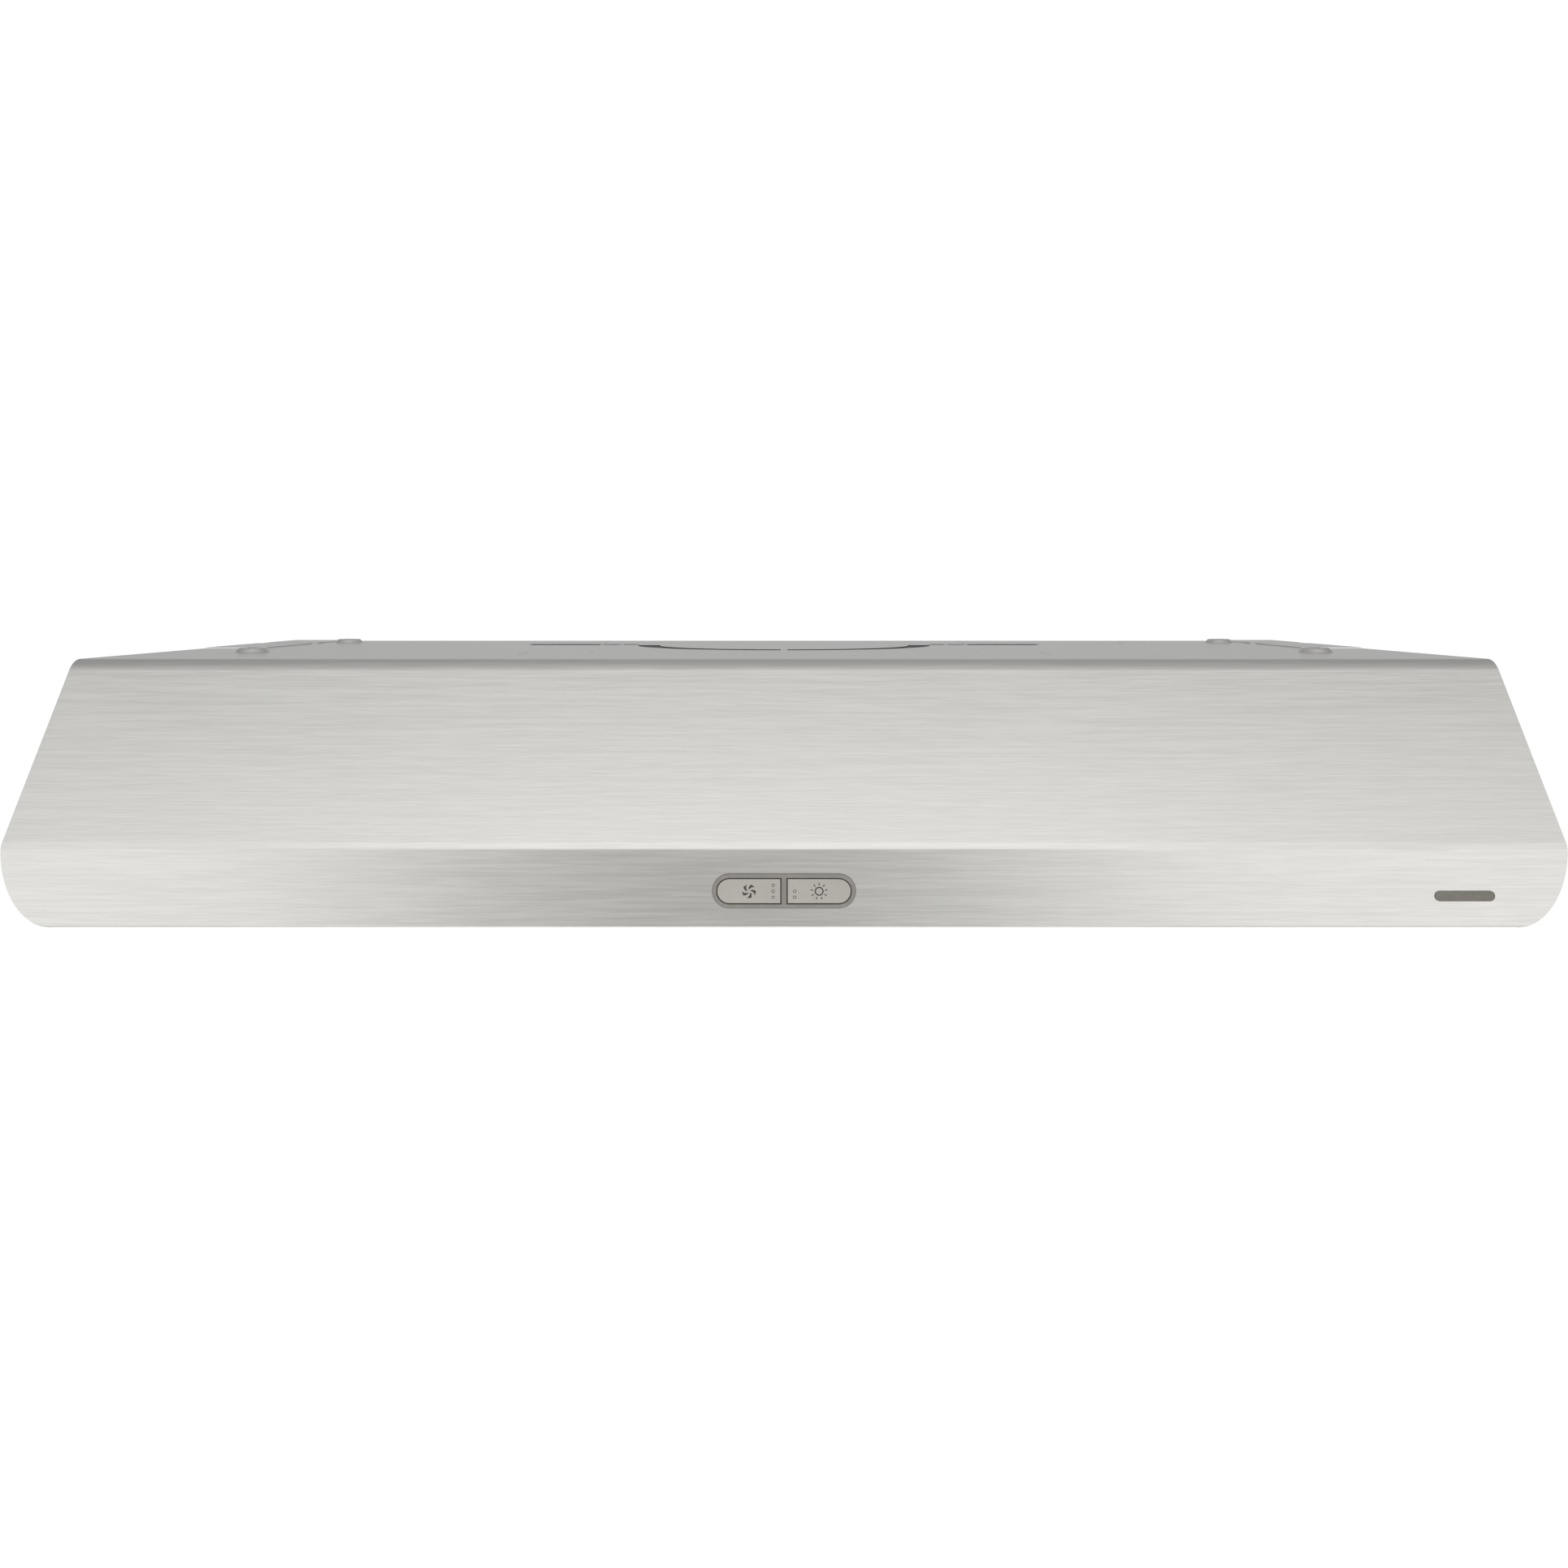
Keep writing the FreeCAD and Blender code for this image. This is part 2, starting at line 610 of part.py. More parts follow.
def back_panel():
    """Rear wall with its rim, duct outlet and cable hole."""
    plate = rearward(front_outline(SHEET), (WALL_Y - SHEET, WALL_Y))
    plate = plate.common(block((-HALF, HALF), (WALL_Y - SHEET, WALL_Y), (BOTTOM_Z, ROOF_Z)))
    rim_line = (
        (PAN_REAR_Y, BOTTOM_Z + RIM_RETURN),
        (PAN_REAR_Y, BOTTOM_Z),
        (WALL_Y, BOTTOM_Z),
        (WALL_Y, BOTTOM_Z + ROLL_TALL),
    )
    rim_x = RIM_X - FIT_GAP
    rim = across(sheet_face(rim_line, (HEM_R, HEM_R), 0, SHEET), (-rim_x, rim_x))
    low_middle = block((-rim_x, rim_x), (WALL_Y - SHEET, WALL_Y), (BOTTOM_Z, BOTTOM_Z + ROLL_TALL))
    outlet = block(
        (-DUCT_ACROSS / 2 - FIT_GAP, DUCT_ACROSS / 2 + FIT_GAP),
        (WALL_Y - 2 * SHEET, WALL_Y + SHEET),
        (DUCT_BOTTOM_Z - FIT_GAP, DUCT_TOP_Z + FIT_GAP),
    )
    cable_hole = rod(
        Vector(BUSHING_X, WALL_Y - 2 * SHEET, BUSHING_Z),
        Vector(BUSHING_X, WALL_Y + SHEET, BUSHING_Z),
        BUSHING_R + BUSHING_HOLE_GAP,
    )
    holes = screw_holes(collar_screw_places() + pan_screw_places())
    return joined([rim, plate.cut(low_middle)]).cut([outlet, cable_hole] + holes)


# Bottom pan and filters

def pan_screw_places():
    """Head places and directions of the pan screws, on the upturned rims."""
    rise = BOTTOM_Z + RIM_RETURN / 2
    places = []
    for x in [share * RIM_X for share in PAN_SCREW_SHARES]:
        places.append((Vector(x, PAN_FRONT_Y + SHEET, rise), (0, -1, 0)))
        places.append((Vector(x, PAN_REAR_Y - SHEET, rise), (0, 1, 0)))
    for side in (-1, 1):
        for y in (PAN_FRONT_Y + LAMP_STRIP, PAN_REAR_Y - LAMP_STRIP):
            places.append((Vector(side * (RIM_X - SHEET), y, rise), (side, 0, 0)))
    return places


def pan_screws():
    """Screws from the recess through the pan's skirt and the rim's return."""
    return [screw(place, way) for place, way in pan_screw_places()]


def screw_holes(places):
    """Clearance holes for screws at places."""
    cutters = []
    for head, way in places:
        run = Vector(way)
        cutters.append(rod(head - run * SHEET, head + run * SCREW_LENGTH, SCREW_R))
    return cutters


def bottom_pan():
    """Recessed pan with a skirt all round, two filter bays and two lamp holes."""
    skirt_low = BOTTOM_Z + HEM_R
    outer = block((-RIM_X, RIM_X), (PAN_FRONT_Y, PAN_REAR_Y), (skirt_low, PAN_Z + SHEET))
    inside = block(
        (SHEET - RIM_X, RIM_X - SHEET), (PAN_FRONT_Y + SHEET, PAN_REAR_Y - SHEET), (BOTTOM_Z, PAN_Z)
    )
    pan = outer.cut(inside)
    through = (PAN_Z - SHEET, PAN_Z + BAY_LIP + SHEET)
    lips = []
    cutters = []
    for side in (-1, 1):
        bay_x = sorted((side * BAY_INNER_X, side * BAY_OUTER_X))
        for lip_x in ((bay_x[0] - SHEET, bay_x[0]), (bay_x[1], bay_x[1] + SHEET)):
            lips.append(block(lip_x, (BAY_FRONT_Y, BAY_REAR_Y), (PAN_Z, PAN_Z + BAY_LIP)))
        cutters.append(block(bay_x, (BAY_FRONT_Y, BAY_REAR_Y), through))
        cutters.append(post(LAMP_HOLE_R, side * LAMP_X, LAMP_Y, through))
    return joined([pan] + lips).cut(cutters + screw_holes(pan_screw_places()))


def filter_box(inset, z_span):
    """Block of the right filter's plan, drawn in by inset."""
    return block(
        (BAY_INNER_X + FILTER_GAP + inset, BAY_OUTER_X - FILTER_GAP - inset),
        (BAY_FRONT_Y + FILTER_GAP + inset, BAY_REAR_Y - FILTER_GAP - inset),
        z_span,
    )


def right_filter_frame():
    """Folded channel round the mesh, with two hooks that rest on the pan behind the bay."""
    body = filter_box(0, (PAN_Z, PAN_Z + FILTER_THICK))
    groove_low = PAN_Z + (FILTER_THICK - MESH_THICK) / 2
    window = filter_box(FILTER_RAIL, (PAN_Z - SHEET, PAN_Z + FILTER_THICK + SHEET))
    groove = filter_box(FILTER_RAIL - MESH_HELD, (groove_low, groove_low + MESH_THICK))
    hook_z = PAN_Z + SHEET + FIT_GAP
    hooks = []
    for offset in (-1, 1):
        x = BAY_MIDDLE_X + offset * (BAY_OUTER_X - BAY_INNER_X) / 4
        hooks.append(block(
            (x - HOOK_WIDTH / 2, x + HOOK_WIDTH / 2),
            (BAY_REAR_Y - FILTER_GAP, BAY_REAR_Y + HOOK_REACH),
            (hook_z, hook_z + FILTER_SKIN),
        ))
    return joined([body.cut([window, groove])] + hooks)


def right_filter_mesh():
    """Pad of expanded mesh held in the frame's channel."""
    low = PAN_Z + (FILTER_THICK - MESH_THICK) / 2
    return filter_box(FILTER_RAIL - MESH_HELD, (low, low + MESH_THICK))


def clip_places():
    """Middles, along X, of the filter spring clips."""
    quarter = (BAY_OUTER_X - BAY_INNER_X) / 4
    return [side * (BAY_MIDDLE_X + offset * quarter) for side in (-1, 1) for offset in (-1, 1)]


def filter_clips():
    """Bent leaf springs on the pan that press on each filter's front edge."""
    foot = PAN_Z + SHEET
    bulge = BAY_FRONT_Y + FILTER_GAP - SPRING_GAP
    line = (
        (BAY_FRONT_Y - CLIP_RISE - CLIP_THICK, foot),
        (BAY_FRONT_Y - CLIP_THICK - FIT_GAP, foot),
        (bulge, foot + CLIP_RISE / 2),
        (BAY_FRONT_Y - CLIP_THICK, foot + CLIP_RISE),
    )
    face = sheet_face(line, (CLIP_THICK * 2, CLIP_THICK * 2), 0, CLIP_THICK)
    return [across(face, (x - CLIP_WIDTH / 2, x + CLIP_WIDTH / 2)) for x in clip_places()]


def ring_axis():
    """Middle of the right pull ring's upper bar."""
    barrel = RING_WIRE_R + RUNNING_GAP + STAPLE_WALL
    y = BAY_FRONT_Y + FILTER_GAP + FILTER_RAIL / 2
    return Vector(BAY_MIDDLE_X, y, PAN_Z - barrel)


def right_pull_staple():
    """Strip under the filter's front rail with a barrel for the ring."""
    axis = ring_axis()
    barrel_r = RING_WIRE_R + RUNNING_GAP + STAPLE_WALL
    half = STAPLE_LENGTH / 2
    foot = block(
        (axis.x - 1.5 * STAPLE_LENGTH, axis.x + 1.5 * STAPLE_LENGTH),
        (axis.y - barrel_r, axis.y + barrel_r),
        (PAN_Z - STAPLE_WALL / 2, PAN_Z),
    )
    ends = (axis - Vector(half, 0, 0), axis + Vector(half, 0, 0))
    barrel = rod(*ends, barrel_r)
    bore = rod(*ends, RING_WIRE_R + RUNNING_GAP)
    return joined([foot, barrel]).cut(bore)


def right_pull_ring():
    """Wire ring that hangs in the staple."""
    axis = ring_axis()
    half = RING_ACROSS / 2 - RING_WIRE_R
    drop = RING_DROP - RING_WIRE_R
    corners = [
        Vector(0, 0, 0), Vector(half, 0, 0), Vector(half, 0, -drop),
        Vector(-half, 0, -drop), Vector(-half, 0, 0), Vector(0, 0, 0),
    ]
    top_bend = 2 * RING_WIRE_R
    low_bend = half - RING_FLAT / 2
    bends = (top_bend, low_bend, low_bend, top_bend)
    return bent_bar([axis + corner for corner in corners], bends, RING_WIRE_R)


# Duct and blower

def duct_collar():
    """Rectangular outlet with a flange inside the back panel and a stop for the flap."""
    half = DUCT_ACROSS / 2
    tube_y = (WALL_Y - 2 * SHEET, WALL_Y + DUCT_REACH)
    outer = block((-half, half), tube_y, (DUCT_BOTTOM_Z, DUCT_TOP_Z))
    flange = block(
        (-half - DUCT_FLANGE, half + DUCT_FLANGE),
        (WALL_Y - 2 * SHEET, WALL_Y - SHEET),
        (DUCT_BOTTOM_Z - DUCT_FLANGE, BLOWER_TOP_Z - FIT_GAP),
    )
    bore = block(
        (SHEET - half, half - SHEET),
        (tube_y[0] - SHEET, tube_y[1] + SHEET),
        (DUCT_BOTTOM_Z + SHEET, DUCT_TOP_Z - SHEET),
    )
    stop_y = FLAP_PIN_Y - FLAP_BARREL_R - FIT_GAP
    stop = block(
        (SHEET - half, half - SHEET),
        (stop_y - SHEET, stop_y),
        (DUCT_BOTTOM_Z + SHEET, DUCT_BOTTOM_Z + SHEET + STOP_HEIGHT),
    )
    pin_hole = rod(
        Vector(-half - SHEET, FLAP_PIN_Y, FLAP_PIN_Z),
        Vector(half + SHEET, FLAP_PIN_Y, FLAP_PIN_Z),
        FLAP_PIN_R,
    )
    collar = joined([joined([outer, flange]).cut(bore), stop])
    return collar.cut([pin_hole] + screw_holes(collar_screw_places()))


def collar_screw_places():
    """Head places and directions of the collar's screws."""
    places = []
    for side in (-1, 1):
        for z in (DUCT_BOTTOM_Z + DUCT_FLANGE, DUCT_TOP_Z - DUCT_FLANGE):
            x = side * (DUCT_ACROSS / 2 + DUCT_FLANGE / 2 + BLOWER_WALL)
            places.append((Vector(x, WALL_Y - 2 * SHEET, z), (0, 1, 0)))
    return places


def short_screw(head, direction, length):
    """Pan-head screw that ends flush with the sheets it joins."""
    way = Vector(direction)
    return joined([rod(head, head + way * length, SCREW_R), rod(head, head - way * SCREW_HEAD, SCREW_HEAD_R)])


def damper_pin():
    """Fixed pin that the flap hangs on."""
    half = DUCT_ACROSS / 2
    return rod(Vector(-half, FLAP_PIN_Y, FLAP_PIN_Z), Vector(half, FLAP_PIN_Y, FLAP_PIN_Z), FLAP_PIN_R)


def damper_flap():
    """Backdraft flap that hangs from its barrel."""
    half = DUCT_ACROSS / 2 - SHEET - FLAP_SIDE_GAP
    ends = (Vector(-half, FLAP_PIN_Y, FLAP_PIN_Z), Vector(half, FLAP_PIN_Y, FLAP_PIN_Z))
    plate_y = FLAP_PIN_Y - FLAP_BARREL_R
    plate = block(
        (-half, half),
        (plate_y, plate_y + FLAP_THICK),
        (DUCT_BOTTOM_Z + SHEET + FLAP_FLOOR_GAP, FLAP_PIN_Z),
    )
    stiffener = block(
        (-half + FLAP_BARREL_R, half - FLAP_BARREL_R),
        (plate_y, plate_y + 2 * FLAP_BARREL_R),
        (DUCT_BOTTOM_Z + SHEET + FLAP_FLOOR_GAP, DUCT_BOTTOM_Z + SHEET + FLAP_FLOOR_GAP + FLAP_THICK),
    )
    return joined([plate, stiffener, rod(*ends, FLAP_BARREL_R)]).cut(rod(*ends, FLAP_PIN_R + RUNNING_GAP / 2))


def scroll_outline(grow, rear):
    """Plan of the scroll, drawn out by grow: three arcs of growing radius, then the throat."""
    step = SCROLL_STEP
    first_r = SCROLL_START_R + grow
    wall_x = DUCT_ACROSS / 2 + grow
    first = Vector(BLOWER_X - step / 2, BLOWER_Y - step / 2, 0)
    second = first + Vector(step, 0, 0)
    third = second + Vector(0, step, 0)
    tongue_rise = math.sqrt(first_r ** 2 - (wall_x + first.x) ** 2)
    tongue = Vector(-wall_x, first.y + tongue_rise, 0)
    tongue_angle = math.atan2(tongue_rise, tongue.x - first.x)
    stretches = (
        (first, first_r, tongue_angle, math.pi),
        (second, first_r + step, math.pi, 1.5 * math.pi),
        (third, first_r + 2 * step, 1.5 * math.pi, 2 * math.pi),
    )
    edges = []
    for centre, radius, start, end in stretches:
        spots = [
            centre + Vector(math.cos(angle), math.sin(angle), 0) * radius
            for angle in (start, (start + end) / 2, end)
        ]
        edges.append(Part.Arc(*spots).toShape())
    right_start = third + Vector(first_r + 2 * step, 0, 0)
    left_rear = Vector(-wall_x, rear, 0)
    right_rear = Vector(wall_x, rear, 0)
    corners = [tongue, left_rear, right_rear, right_start]
    edges += [line_edge(near, far) for near, far in zip(corners, corners[1:])]
    return closed_face(edges)


def ear_places():
    """Middles of the blower's four screw ears."""
    reach = SCROLL_START_R + BLOWER_WALL + BLOWER_RIM + EAR_R / 2
    step = SCROLL_STEP / 2
    left_reach = (reach + 2 * step) * math.sqrt(0.5)
    right_reach = (reach + 4 * step) * math.sqrt(0.5)
    front_left = (BLOWER_X + step - left_reach, BLOWER_Y - step - left_reach)
    front_right = (BLOWER_X + step + right_reach, BLOWER_Y + step - right_reach)
    rear_x = DUCT_ACROSS / 2 + BLOWER_WALL + BLOWER_RIM + EAR_R / 2
    rear_y = WALL_Y - DUCT_REACH
    return [front_left, front_right, (-rear_x, rear_y), (rear_x, rear_y)]


def blower_top_plate():
    """Plate under the top sheet that carries the motor and closes the scroll."""
    span = (BLOWER_TOP_Z, ROOF_Z)
    plate = upward(scroll_outline(BLOWER_WALL + BLOWER_RIM, BLOWER_REAR_Y), span)
    ears = [post(EAR_R, x, y, span) for x, y in ear_places()]
    return joined([plate] + ears).cut([post(SCREW_R, x, y, span) for x, y in ear_places()])


def scroll_wall():
    """Spiral side wall of the blower, with a hole for the motor lead."""
    span = (INLET_Z + BLOWER_WALL, BLOWER_TOP_Z)
    wall = upward(scroll_outline(BLOWER_WALL, BLOWER_REAR_Y), span)
    hollow = upward(scroll_outline(0, BLOWER_REAR_Y + BLOWER_WALL), span)
    hole = rod(motor_lead_points()[0], motor_lead_points()[1], GROMMET_R - GROMMET_GROOVE)
    return wall.cut([hollow, hole])


def blower_inlet_plate():
    """Bottom of the blower with a rolled inlet ring."""
    plate = upward(scroll_outline(BLOWER_WALL, BLOWER_REAR_Y), (INLET_Z, INLET_Z + BLOWER_WALL))
    mouth = (INLET_Z - BLOWER_WALL, INLET_Z + 2 * BLOWER_WALL)
    plate = plate.cut(post(INLET_PLATE_R, BLOWER_X, BLOWER_Y, mouth))
    ring_line = ((INLET_PLATE_R, INLET_Z), (INLET_R, INLET_Z), (INLET_R, INLET_Z + INLET_LIP + INLET_ROLL_R))
    face = sheet_face(ring_line, (INLET_ROLL_R,), 0, -BLOWER_WALL)
    return joined([plate, turned_about(face, BLOWER_X, BLOWER_Y)])


def blower_screws():
    """Screws from the ears up into the top sheet."""
    return [
        short_screw(Vector(x, y, BLOWER_TOP_Z), (0, 0, 1), BLOWER_WALL)
        for x, y in ear_places()
    ]


def wheel_ring(inner, outer, z_span):
    """Flat ring round the wheel's axis."""
    return sleeve(
        Vector(BLOWER_X, BLOWER_Y, z_span[0]), Vector(BLOWER_X, BLOWER_Y, z_span[1]), outer, inner
    )


def wheel_blade(turn):
    """One forward-curved blade."""
    depth = WHEEL_R - WHEEL_INNER_R
    near = Vector(WHEEL_INNER_R, 0, 0)
    tip = Vector(WHEEL_R - BLADE_THICK, depth * BLADE_SWEEP, 0)
    bow = (near + tip) / 2 + Vector(depth * BLADE_BOW[0], depth * BLADE_BOW[1], 0)
    inside = Part.Arc(near, bow, tip).toShape()
    outside = Part.Arc(
        near + Vector(0, BLADE_THICK, 0),
        bow + Vector(-BLADE_THICK / 2, BLADE_THICK, 0),
        tip + Vector(-BLADE_THICK, 0, 0),
    ).toShape()
    caps = [
        line_edge(near, near + Vector(0, BLADE_THICK, 0)),
        line_edge(tip, tip + Vector(-BLADE_THICK, 0, 0)),
    ]
    blade = upward(closed_face([inside, outside] + caps), (WHEEL_Z, WHEEL_Z + WHEEL_TALL))
    blade.rotate(Vector(), Vector(0, 0, 1), turn)
    return blade.translated(Vector(BLOWER_X, BLOWER_Y, 0))


def blower_wheel():
    """Forward-curved wheel whose back is a bowl round the motor."""
    top = WHEEL_Z + WHEEL_TALL
    pieces = [
        wheel_ring(WHEEL_INNER_R, WHEEL_R, (WHEEL_Z, WHEEL_Z + 2 * WHEEL_SHEET)),
        wheel_ring(BOWL_R - WHEEL_SHEET, WHEEL_R, (top - WHEEL_SHEET, top)),
        wheel_ring(BOWL_R - WHEEL_SHEET, BOWL_R, (BOWL_Z, top)),
        wheel_ring(SHAFT_R, BOWL_R, (BOWL_Z, BOWL_Z + WHEEL_SHEET)),
        wheel_ring(SHAFT_R, HUB_R, (HUB_Z, BOWL_Z + WHEEL_SHEET)),
    ]
    pieces += [wheel_blade(360 * count / WHEEL_BLADES) for count in range(WHEEL_BLADES)]
    return joined(pieces)


def wheel_nut():
    """Hexagon nut that holds the wheel on the shaft."""
    corners = [
        (NUT_R * math.cos(math.radians(60 * side)), NUT_R * math.sin(math.radians(60 * side)))
        for side in range(6)
    ]
    nut = upward(polygon_face(corners), (HUB_Z - NUT_TALL, HUB_Z)).translated(Vector(BLOWER_X, BLOWER_Y, 0))
    return nut.cut(post(SHAFT_R, BLOWER_X, BLOWER_Y, (HUB_Z - NUT_TALL, HUB_Z)))


def bearing_spans():
    """Z spans of the lower and the upper bearing."""
    low = MOTOR_Z + MOTOR_WALL
    high = BLOWER_TOP_Z - MOTOR_WALL
    return (low, low + BEARING_TALL), (high - BEARING_TALL, high)


def motor_bearings():
    """Lower and upper bearing."""
    return [wheel_ring(SHAFT_R + BEARING_GAP, BEARING_R, span) for span in bearing_spans()]


def motor_shaft():
    """Shaft through both bearings, down to the wheel nut."""
    top = bearing_spans()[1][1] - FIT_GAP
    return post(SHAFT_R, BLOWER_X, BLOWER_Y, (HUB_Z - NUT_TALL - SHAFT_END, top))


def motor_can():
    """Cup that holds the stator and the lower bearing."""
    top = BLOWER_TOP_Z - MOTOR_WALL
    cup = wheel_ring(SHAFT_R + 2 * FIT_GAP, MOTOR_R, (MOTOR_Z, top))
    space = post(MOTOR_R - MOTOR_WALL, BLOWER_X, BLOWER_Y, (MOTOR_Z + MOTOR_WALL, top))
    seat = wheel_ring(BEARING_R, BEARING_R + BEARING_SEAT, bearing_spans()[0])
    outlet = rod(motor_lead_points()[0], motor_lead_points()[1], LEAD_R)
    return joined([cup.cut(space), seat]).cut(outlet)


def motor_lid():
    """Lid with the upper bearing seat and three screw ears."""
    span = (BLOWER_TOP_Z - MOTOR_WALL, BLOWER_TOP_Z)
    pieces = [post(MOTOR_R, BLOWER_X, BLOWER_Y, span)]
    pieces += [post(MOTOR_EAR_R, x, y, span) for x, y in motor_screw_places()]
    pieces.append(wheel_ring(BEARING_R, BEARING_R + BEARING_SEAT, bearing_spans()[1]))
    return joined(pieces).cut([post(SCREW_R, x, y, span) for x, y in motor_screw_places()])


def motor_screw_places():
    """Middles of the motor lid's three ears."""
    angles = [math.radians(90 + 120 * count) for count in range(3)]
    ear_r = MOTOR_R + SCREW_HEAD_R + 3 * FIT_GAP
    return [(BLOWER_X + ear_r * math.cos(angle), BLOWER_Y + ear_r * math.sin(angle)) for angle in angles]


def motor_screws():
    """Screws through the lid's ears into the top plate."""
    head_z = BLOWER_TOP_Z - MOTOR_WALL
    return [short_screw(Vector(x, y, head_z), (0, 0, 1), MOTOR_WALL) for x, y in motor_screw_places()]


def motor_core_span():
    """Z span of the rotor and the stator."""
    middle = (bearing_spans()[0][1] + bearing_spans()[1][0]) / 2
    return middle - ROTOR_TALL / 2, middle + ROTOR_TALL / 2


def capacitor_middle():
    """Middle of the run capacitor, against the top sheet."""
    return Vector(CAPACITOR_X, FRONT_Y + CAPACITOR_SETBACK, ROOF_Z - SHEET - CAPACITOR_R)


def motor_capacitor():
    """Run capacitor for the motor."""
    half = Vector(0, CAPACITOR_LENGTH / 2, 0)
    middle = capacitor_middle()
    return rod(middle - half, middle + half, CAPACITOR_R)


def capacitor_strap():
    """Strap round the capacitor with two feet on the top sheet."""
    middle = capacitor_middle()
    side = CAPACITOR_R + SHEET
    half = Vector(0, STRAP_WIDTH / 2, 0)
    band = rod(middle - half, middle + half, side)
    legs = block(
        (middle.x - side, middle.x + side), (middle.y - half.y, middle.y + half.y), (middle.z, ROOF_Z)
    )
    feet = block(
        (middle.x - side - BOX_LIP, middle.x + side + BOX_LIP),
        (middle.y - half.y, middle.y + half.y),
        (ROOF_Z - SHEET, ROOF_Z),
    )
    gap = block(
        (middle.x - CAPACITOR_R, middle.x + CAPACITOR_R),
        (middle.y - half.y, middle.y + half.y),
        (middle.z, ROOF_Z - SHEET),
    )
    return joined([band, legs, feet]).cut([rod(middle - half, middle + half, CAPACITOR_R), gap])


# Controls

def control_bezel():
    """Full-round bezel with two key openings and a sleeve through the apron."""
    half = BEZEL_ACROSS / 2
    sleeve_half = half - BEZEL_OVERLAP - FIT_GAP / 2
    sleeve_tall = BEZEL_TALL - 2 * BEZEL_OVERLAP - FIT_GAP
    front = FRONT_Y - BEZEL_PROUD
    rear = FRONT_Y + BEZEL_REACH
    plate = rearward(pill_face((-half, half), CONTROL_Z, BEZEL_TALL), (front, FRONT_Y))
    neck = rearward(pill_face((-sleeve_half, sleeve_half), CONTROL_Z, sleeve_tall), (FRONT_Y, rear))
    cutters = []
    for side in (-1, 1):
        opening = key_face(side, -KEY_GAP)
        pocket = pocket_face(side, 0)
        cutters.append(rearward(opening, (front - SHEET, rear + SHEET)))
        cutters.append(rearward(pocket, (front + BEZEL_LIP, rear + SHEET)))
    return joined([plate, neck]).cut(cutters)


def key_face(side, inset):
    """Face of one key: full-round at its outer end, drawn in by inset."""
    near = side * (KEY_DIVIDER / 2 + inset)
    far = side * (KEY_DIVIDER / 2 + KEY_ACROSS - inset)
    return pill_face(sorted((near, far)), CONTROL_Z, KEY_TALL - 2 * inset, side < 0, side > 0)


def pocket_face(side, inset):
    """Face of the pocket behind one key, drawn in by inset."""
    near = side * (KEY_DIVIDER / 2 - KEY_GAP + inset)
    far = side * (BEZEL_ACROSS / 2 - BEZEL_OVERLAP - FIT_GAP / 2 - BEZEL_WALL - inset)
    tall = BEZEL_TALL - 2 * (BEZEL_OVERLAP + BEZEL_WALL) - FIT_GAP - 2 * inset
    return pill_face(sorted((near, far)), CONTROL_Z, tall, side < 0, side > 0)


def key_middle_x(side):
    """Middle of one key along X."""
    return side * (KEY_DIVIDER / 2 + KEY_ACROSS / 2)


def level_dots(side):
    """Light pipes of one key: three beside the fan key, two beside the light key."""
    if side < 0:
        places = [(FAN_DOTS_X, step * LEVEL_DOT_STEP) for step in (1, 0, -1)]
    else:
        places = [(LIGHT_DOTS_X, step * LEVEL_DOT_STEP) for step in (0, -1)]
    front = FRONT_Y - BEZEL_PROUD - KEY_PROUD
    rear = FRONT_Y - BEZEL_PROUD + BEZEL_LIP + KEY_GAP + KEY_FLANGE
    return [
        rod(Vector(x, front, CONTROL_Z + rise), Vector(x, rear, CONTROL_Z + rise), LEVEL_DOT_R)
        for x, rise in places
    ]


def control_key(side):
    """One key: cap, retaining flange and stem, with holes for its light pipes."""
    front = FRONT_Y - BEZEL_PROUD - KEY_PROUD
    flange_front = FRONT_Y - BEZEL_PROUD + BEZEL_LIP + KEY_GAP
    flange_rear = flange_front + KEY_FLANGE
    x = key_middle_x(side)
    stem_end = BOARD_Y - SWITCH_TALL - SWITCH_TIP - KEY_TRAVEL - KEY_GAP
    pieces = [
        rearward(key_face(side, 0), (front, flange_front)),
        rearward(pocket_face(side, KEY_GAP), (flange_front, flange_rear)),
        rod(Vector(x, flange_rear, CONTROL_Z), Vector(x, stem_end, CONTROL_Z), KEY_STEM_R),
    ]
    return joined(pieces).cut(level_dots(side))


def button_switches():
    """Two push switches on the board."""
    half = SWITCH_SIDE / 2
    switches = []
    for side in (-1, 1):
        x = key_middle_x(side)
        tip_rear = BOARD_Y - SWITCH_TALL
        body = block((x - half, x + half), (tip_rear, BOARD_Y), (CONTROL_Z - half, CONTROL_Z + half))
        tip = rod(Vector(x, tip_rear - SWITCH_TIP, CONTROL_Z), Vector(x, tip_rear, CONTROL_Z), SWITCH_TIP_R)
        switches.append(joined([body, tip]))
    return switches


def board_screw_places():
    """Head places and directions of the board screws."""
    return [(Vector(side * BOARD_SCREW_X, BOARD_Y, CONTROL_Z), (0, 1, 0)) for side in (-1, 1)]


def control_board():
    """Circuit board behind the keys."""
    half = HOUSING_ACROSS / 2 - HOUSING_WALL - FIT_GAP
    tall = HOUSING_TALL / 2 - HOUSING_WALL - FIT_GAP
    board = block((-half, half), (BOARD_Y, BOARD_Y + BOARD_THICK), (CONTROL_Z - tall, CONTROL_Z + tall))
    return board.cut(screw_holes(board_screw_places()))


